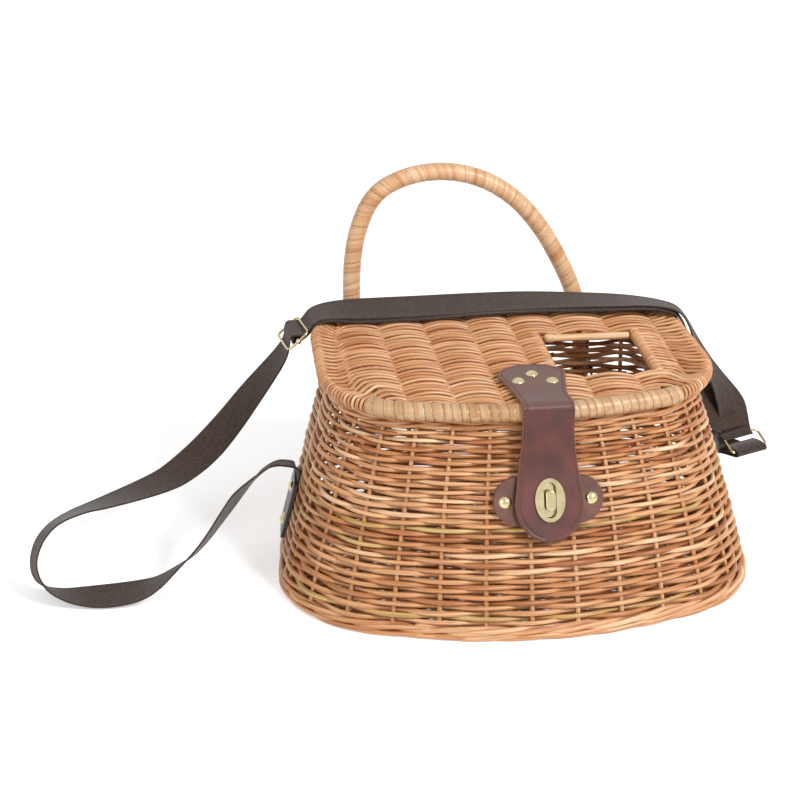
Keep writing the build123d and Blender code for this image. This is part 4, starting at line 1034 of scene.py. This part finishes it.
# ---- Shoulder strap ----------------------------------------------------------------------
# Flat dark brown cotton webbing. From the left tab it lies in a loop on the floor, runs through
# the slider and over the lid, folds round the ring, and comes back under itself to the slider.
# A short piece ties the ring to the right tab. Each point has the direction across the webbing.
STRAP_WIDTH, STRAP_THICK = 31.0, 1.5
RIB_PITCH, WARP_PITCH = 1.6, 1.1
BACK = (0, 1, 0)
RING_WAY = (0.91, 0.41, -0.02)
MAIN_ROUTE = [
    ((-167, 22, 70.5), BACK), ((-166.2, 22, 73), BACK),
    ((-169, 23, 77), (-0.2, 0.95, -0.2)), ((-176.5, 22.5, 79), (-0.25, 0.95, -0.25)),
    ((-186, 19, 78.5), (-0.35, 0.85, -0.45)), ((-192.5, 16, 78), (-0.3, 0.75, -0.65)),
    ((-217.5, -3, 64), (0.05, 0.65, -0.75)), ((-225.5, -9, 56.5), (0.1, 0.7, -0.7)),
    ((-248, -29, 35), (0, 0.75, -0.65)), ((-268.5, -36, 21.5), (0, 0.9, -0.4)),
    ((-280, -39.5, 14), (-0.05, 0.95, -0.25)), ((-292.5, -40.5, 8.5), BACK),
    ((-309, -39.5, 5), (0.05, 1, 0.1)), ((-326.5, -38.5, 3.5), (0.1, 1, 0.1)),
    ((-342, -37, 4), (0.1, 1, -0.05)), ((-352.5, -36, 5.5), (0.1, 0.95, -0.2)),
    ((-363.5, -33.5, 9), (0.15, 0.9, -0.4)), ((-370.5, -29, 14), (0.1, 0.75, -0.65)),
    ((-374.5, -23, 20.5), (-0.05, 0.6, -0.8)), ((-374, -13.5, 27), (-0.25, 0.55, -0.8)),
    ((-371, -4, 33), (-0.35, 0.6, -0.7)), ((-364, 7, 39), (-0.45, 0.65, -0.6)),
    ((-353, 16.5, 43), (-0.45, 0.75, -0.45)), ((-336.5, 27.5, 44.5), (-0.45, 0.8, -0.35)),
    ((-322, 35.5, 44), (-0.4, 0.9, -0.25)), ((-271, 57.5, 49.5), (-0.4, 0.9, 0.05)),
    ((-254, 65, 56), (-0.5, 0.85, 0.15)), ((-233, 75.5, 68.5), (-0.55, 0.8, 0.2)),
    ((-213, 86.5, 86.5), (-0.5, 0.85, 0.1)), ((-195.5, 95, 106), (-0.4, 0.9, 0.05)),
    ((-180.5, 97, 124.5), (-0.2, 0.98, 0.05)), ((-171, 97.4, 137.5), (-0.1, 1, 0)),
    ((-166, 97.2, 147), BACK), ((-165.2, 97.3, 154.8), BACK), ((-164.8, 97.6, 159.6), BACK),
    ((-162.6, 98, 161.5), BACK), ((-157.8, 98.5, 160.9), BACK), ((-152.6, 98.8, 161), BACK),
    ((-149.2, 98.8, 165.5), BACK), ((-146, 98.8, 170.2), BACK), ((-140, 98.8, 173.4), BACK),
    ((-131, 98.5, 174.9), (0, 1, 0.06)), ((-118, 98, 175.6), (0, 0.99, 0.12)),
    ((-104, 97.5, 175.6), (0, 0.98, 0.17)), ((-58, 98, 175.5), (0, 0.98, 0.17)),
    ((-12, 100, 175.4), (0, 0.98, 0.15)), ((32, 101, 175.4), (0, 0.99, 0.1)),
    ((74, 97.6, 175.3), (0.05, 1, 0)), ((104, 93.5, 175.3), (0.1, 1, -0.05)),
    ((125, 89.5, 175.2), (0.15, 0.95, -0.15)), ((140, 84.5, 174.4), (0.12, 0.97, -0.2)),
    ((152.5, 80.5, 171.5), (0.12, 0.97, -0.2)), ((160, 76.5, 161), (0.15, 0.97, -0.12)),
    ((165.5, 71.5, 147), (0.28, 0.93, -0.08)), ((173.5, 66.5, 132), (0.4, 0.9, -0.1)),
    ((180.5, 62, 121), (0.52, 0.85, -0.12)), ((187, 58, 111), (0.66, 0.75, -0.1)),
    ((192, 55, 102), (0.78, 0.62, 0)), ((195.5, 52.8, 93.5), (0.87, 0.49, 0.05)),
    ((197, 51, 84), RING_WAY), ((198.4, 47.9, 75.1), RING_WAY), ((200, 44.4, 69.9), RING_WAY),
    ((199.5, 39.7, 72.9), RING_WAY), ((194.8, 41.5, 77.2), RING_WAY)]
RETURN_ROUTE = [
    ((192.5, 42, 79.5), (0.93, 0.36, 0.05)), ((187.5, 44.5, 86), (0.93, 0.33, 0.1)),
    ((181, 48.5, 93.5), (0.88, 0.46, 0.05)), ((174.5, 54, 102.5), (0.78, 0.62, 0)),
    ((168, 59.5, 111.5), (0.65, 0.76, 0)), ((163, 65, 124), (0.5, 0.86, 0)),
    ((160.8, 70.5, 143), (0.3, 0.9, -0.1)), ((156.5, 75.5, 160), (0.15, 0.97, -0.12)),
    ((149.8, 79.5, 169.2), (0.12, 0.97, -0.2)), ((138.5, 83.5, 172.5), (0.12, 0.97, -0.2)),
    ((124, 87.5, 173.1), (0.15, 0.95, -0.15)), ((103, 91.5, 173), (0.1, 1, -0.05)),
    ((74, 95.5, 173), (0.05, 1, 0)), ((32, 98, 173), BACK), ((-12, 97, 173), BACK),
    ((-58, 95.5, 173.2), (0, 0.98, 0.15)), ((-104, 95.5, 173.2), (0, 0.98, 0.15)),
    ((-120, 96, 173), (0, 0.99, 0.1)), ((-131, 97, 172.8), BACK), ((-139, 97.5, 171.9), BACK),
    ((-145, 98, 168), BACK), ((-148.8, 98.6, 162.5), BACK), ((-154, 98.8, 157.5), BACK),
    ((-158.5, 98.2, 155.4), BACK), ((-161.8, 97.7, 154.3), BACK), ((-163.5, 97.6, 156.5), BACK),
    ((-161.8, 98, 159), BACK)]
RING_ROUTE = [
    ((167, 22, 70.5), BACK), ((166.6, 22, 76.5), BACK), ((170, 25, 80), (0.1, 1, 0)),
    ((176, 33, 76), (0.35, 0.93, 0)), ((184, 42, 67), (0.6, 0.8, 0)),
    ((193, 47, 60.5), (0.8, 0.6, 0)), ((200, 44, 59.5), RING_WAY), ((204.5, 34, 61.5), RING_WAY),
    ((207.6, 27.3, 63), RING_WAY), ((207.6, 27.3, 67), RING_WAY), ((204.5, 33.5, 67.8), RING_WAY),
    ((202.9, 37.4, 67.5), RING_WAY), ((200.5, 42.8, 66), RING_WAY)]


# Close cotton webbing, dyed dark taupe: fine cross ribs, faint warp lines, painted shade in the furrows
# between the ribs and a dull face.
webbing, web_tree, web_surface = new_material("dark_taupe_cotton_webbing")
web_place = node(web_tree, "Attribute", attribute_name="weave")
web_parts = node(web_tree, "SeparateXYZ", {"Vector": web_place.outputs["Vector"]})
rib_angle = node(web_tree, "Math", {0: web_parts.outputs["X"], 1: 2 * math.pi / RIB_PITCH},
                 operation="MULTIPLY")
rib_wave = node(web_tree, "Math", {0: rib_angle.outputs[0]}, operation="SINE")
warp_angle = node(web_tree, "Math", {0: web_parts.outputs["Y"], 1: 2 * math.pi / WARP_PITCH},
                  operation="MULTIPLY")
warp_wave = node(web_tree, "Math", {0: warp_angle.outputs[0]}, operation="SINE")
crossed = node(web_tree, "Math", {0: rib_wave.outputs[0], 1: warp_wave.outputs[0]},
               operation="MULTIPLY")
relief = node(web_tree, "Math", {0: crossed.outputs[0], 1: 0.3, 2: rib_wave.outputs[0]},
              operation="MULTIPLY_ADD")
web_bump = node(web_tree, "Bump", {"Height": relief.outputs[0], "Strength": 0.7, "Distance": 0.0002})
web_tree.links.new(web_bump.outputs[0], web_surface.inputs["Normal"])
fuzz = node(web_tree, "TexNoise", {"Vector": web_place.outputs["Vector"], "Scale": 0.35, "Detail": 4.0})
web_colour = node(web_tree, "ValToRGB", {"Fac": fuzz.outputs["Fac"]},
                  stops=[(0.25, "#33261f"), (0.5, "#43342b"), (0.75, "#524137")])
# Painted shade: the colour darkens in the furrows between the cross ribs.
painted_furrow_shade = node(web_tree, "MapRange", {"Value": rib_wave.outputs[0], "From Min": -1.0, "From Max": 0.4,
                                     "To Min": 0.62, "To Max": 1.0})
web_shade = node(web_tree, "MixRGB", {"Fac": 1.0, "Color1": web_colour.outputs[0],
                                      "Color2": painted_furrow_shade.outputs[0]}, blend_type="MULTIPLY")
web_tree.links.new(web_shade.outputs[0], web_surface.inputs["Base Color"])
web_surface.inputs["Roughness"].default_value = 0.82
web_surface.inputs["Specular IOR Level"].default_value = 0.25
web_surface.inputs["Sheen Weight"].default_value = 0.25
web_surface.inputs["Sheen Roughness"].default_value = 0.45


SELVEDGE = [(1, 0), (0.985, 0.8), (0.94, 1.0), (0.9, 0.95), (0.85, 0.8), (0.6, 0.8), (0.2, 0.8)]


def strap(name, route):
    """A band of webbing along a route of centres and directions across it, and its middle line."""
    half, deep = STRAP_WIDTH / 2 * MM, STRAP_THICK / 2 * MM
    middle = smooth_line([np.array(centre) * MM for centre, _ in route], 12)
    beside = smooth_line([np.array(centre) * MM + unit(np.array(way, float)) * half
                          for centre, way in route], 12)
    line = evenly(middle, 1.2 * MM)
    run = distance_along(middle)
    at = np.linspace(0, run[-1], len(line))
    ways = unit(np.column_stack([np.interp(at, run, (beside - middle)[:, i]) for i in range(3)]))
    lift = unit(np.cross(ways, np.gradient(line, axis=0)))
    face = [(-x, high) for x, high in SELVEDGE] + SELVEDGE[::-1]
    section = np.array(face + [(x, -high) for x, high in face[-2:0:-1]])
    across, level = section[:, 0] * half, section[:, 1] * deep
    sides = len(section)
    rings = line[:, None] + ways[:, None] * across[:, None] + lift[:, None] * level[:, None]
    band = bpy.data.meshes.new(name)
    k = np.arange(sides)
    faces = []
    for i in range(len(line) - 1):
        a, b = i * sides, (i + 1) * sides
        faces += np.stack([a + k, b + k, b + (k + 1) % sides, a + (k + 1) % sides], 1).tolist()
    faces += [k.tolist(), ((len(line) - 1) * sides + k[::-1]).tolist()]
    band.from_pydata(rings.reshape(-1, 3).tolist(), [], faces)
    place = np.stack([np.broadcast_to(at[:, None], rings.shape[:2]),
                      np.broadcast_to(across, rings.shape[:2]),
                      np.broadcast_to(level, rings.shape[:2])], -1) / MM
    band.attributes.new("weave", "FLOAT_VECTOR", "POINT").data.foreach_set("vector", place.ravel())
    band.materials.append(webbing)
    band.shade_smooth()
    return add_object(name, band), line


# Steel wire plated with pale brass, polished. The slider has a middle bar, the ring has none.
WIRE_RADIUS, WIRE_HALF, WIRE_CORNER = 1.05, 18.2, 4.0
ROLL_RADIUS, ROLL_HALF = 2.45, 2.1    # where a bar's end is rolled round the frame
plated, plated_tree, plated_surface = new_material("pale_brass_plated_wire")
plated_surface.inputs["Base Color"].default_value = linear("#cbb98e")
plated_surface.inputs["Metallic"].default_value = 1.0
wire_place = node(plated_tree, "TexCoord")
smudge = node(plated_tree, "TexNoise", {"Vector": wire_place.outputs["Object"], "Scale": 300.0})
polish = node(plated_tree, "MapRange", {"Value": smudge.outputs["Fac"], "To Min": 0.14, "To Max": 0.3})
plated_tree.links.new(polish.outputs[0], plated_surface.inputs["Roughness"])


def wire_loop(half_y):
    """A rounded rectangle of wire in its own plane."""
    turn = np.radians(np.arange(0, 91, 15))
    parts = []
    for quarter, (x, y) in enumerate(((1, 1), (-1, 1), (-1, -1), (1, -1))):
        angle = turn + quarter * math.pi / 2
        parts.append(np.column_stack([x * (WIRE_HALF - WIRE_CORNER) + WIRE_CORNER * np.cos(angle),
                                      y * (half_y - WIRE_CORNER) + WIRE_CORNER * np.sin(angle)]))
    return np.vstack(parts)


def wire_piece(name, centre, x_way, y_way, half_y, bar):
    """The wire frame of the slider or the ring: a loop, and a bar whose ends are rolled round it."""
    x_way, y_way = unit(np.array(x_way, float)), np.array(y_way, float)
    y_way = unit(y_way - x_way * (x_way @ y_way))
    out = np.cross(x_way, y_way)
    wires = Rods(15)
    flat = wire_loop(half_y)
    line = np.array(centre) + flat[:, :1] * x_way + flat[:, 1:] * y_way
    wires.add(line, WIRE_RADIUS, out, sides=12, closed=True)
    if bar:
        x = np.linspace(-WIRE_HALF, WIRE_HALF, 24)
        line = np.array(centre) + x[:, None] * x_way
        wires.add(line, WIRE_RADIUS, out, sides=12)
        for end in (-1, 1):
            y = np.linspace(-ROLL_HALF, ROLL_HALF, 9)
            line = np.array(centre) + end * WIRE_HALF * x_way + y[:, None] * y_way
            roll = ROLL_RADIUS * np.sqrt(np.clip(1.06 - (y / ROLL_HALF) ** 2, 0, 1))
            wires.add(line, roll, out, sides=14)
    return wires.build(name, plated, None)


main_piece, main_line = strap("strap_main_webbing", MAIN_ROUTE)
return_piece, return_line = strap("strap_return_webbing", RETURN_ROUTE)
ring_web, _ = strap("ring_webbing_upper", RING_ROUTE)
slider = wire_piece("slider_wire", (-160.5, 98, 156.7), (0.12, -0.99, 0.05), (-0.76, -0.10, -0.64),
                    10.7, True)
ring = wire_piece("ring_wire", (204.2, 38.1, 69.1), RING_WAY, (-0.34, 0.79, 0.51), 8.2, False)

# The strap's two free runs.
for piece, name in ((main_piece, "strap_main"), (return_piece, "strap_return")):
    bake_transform(piece)
    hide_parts(name)
for piece, name, finish in ((ring_web, "ring_webbing", "webbing"), (slider, "strap_slider", "brass"),
                            (ring, "strap_ring", "brass")):
    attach(piece, "basket")
    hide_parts(name)
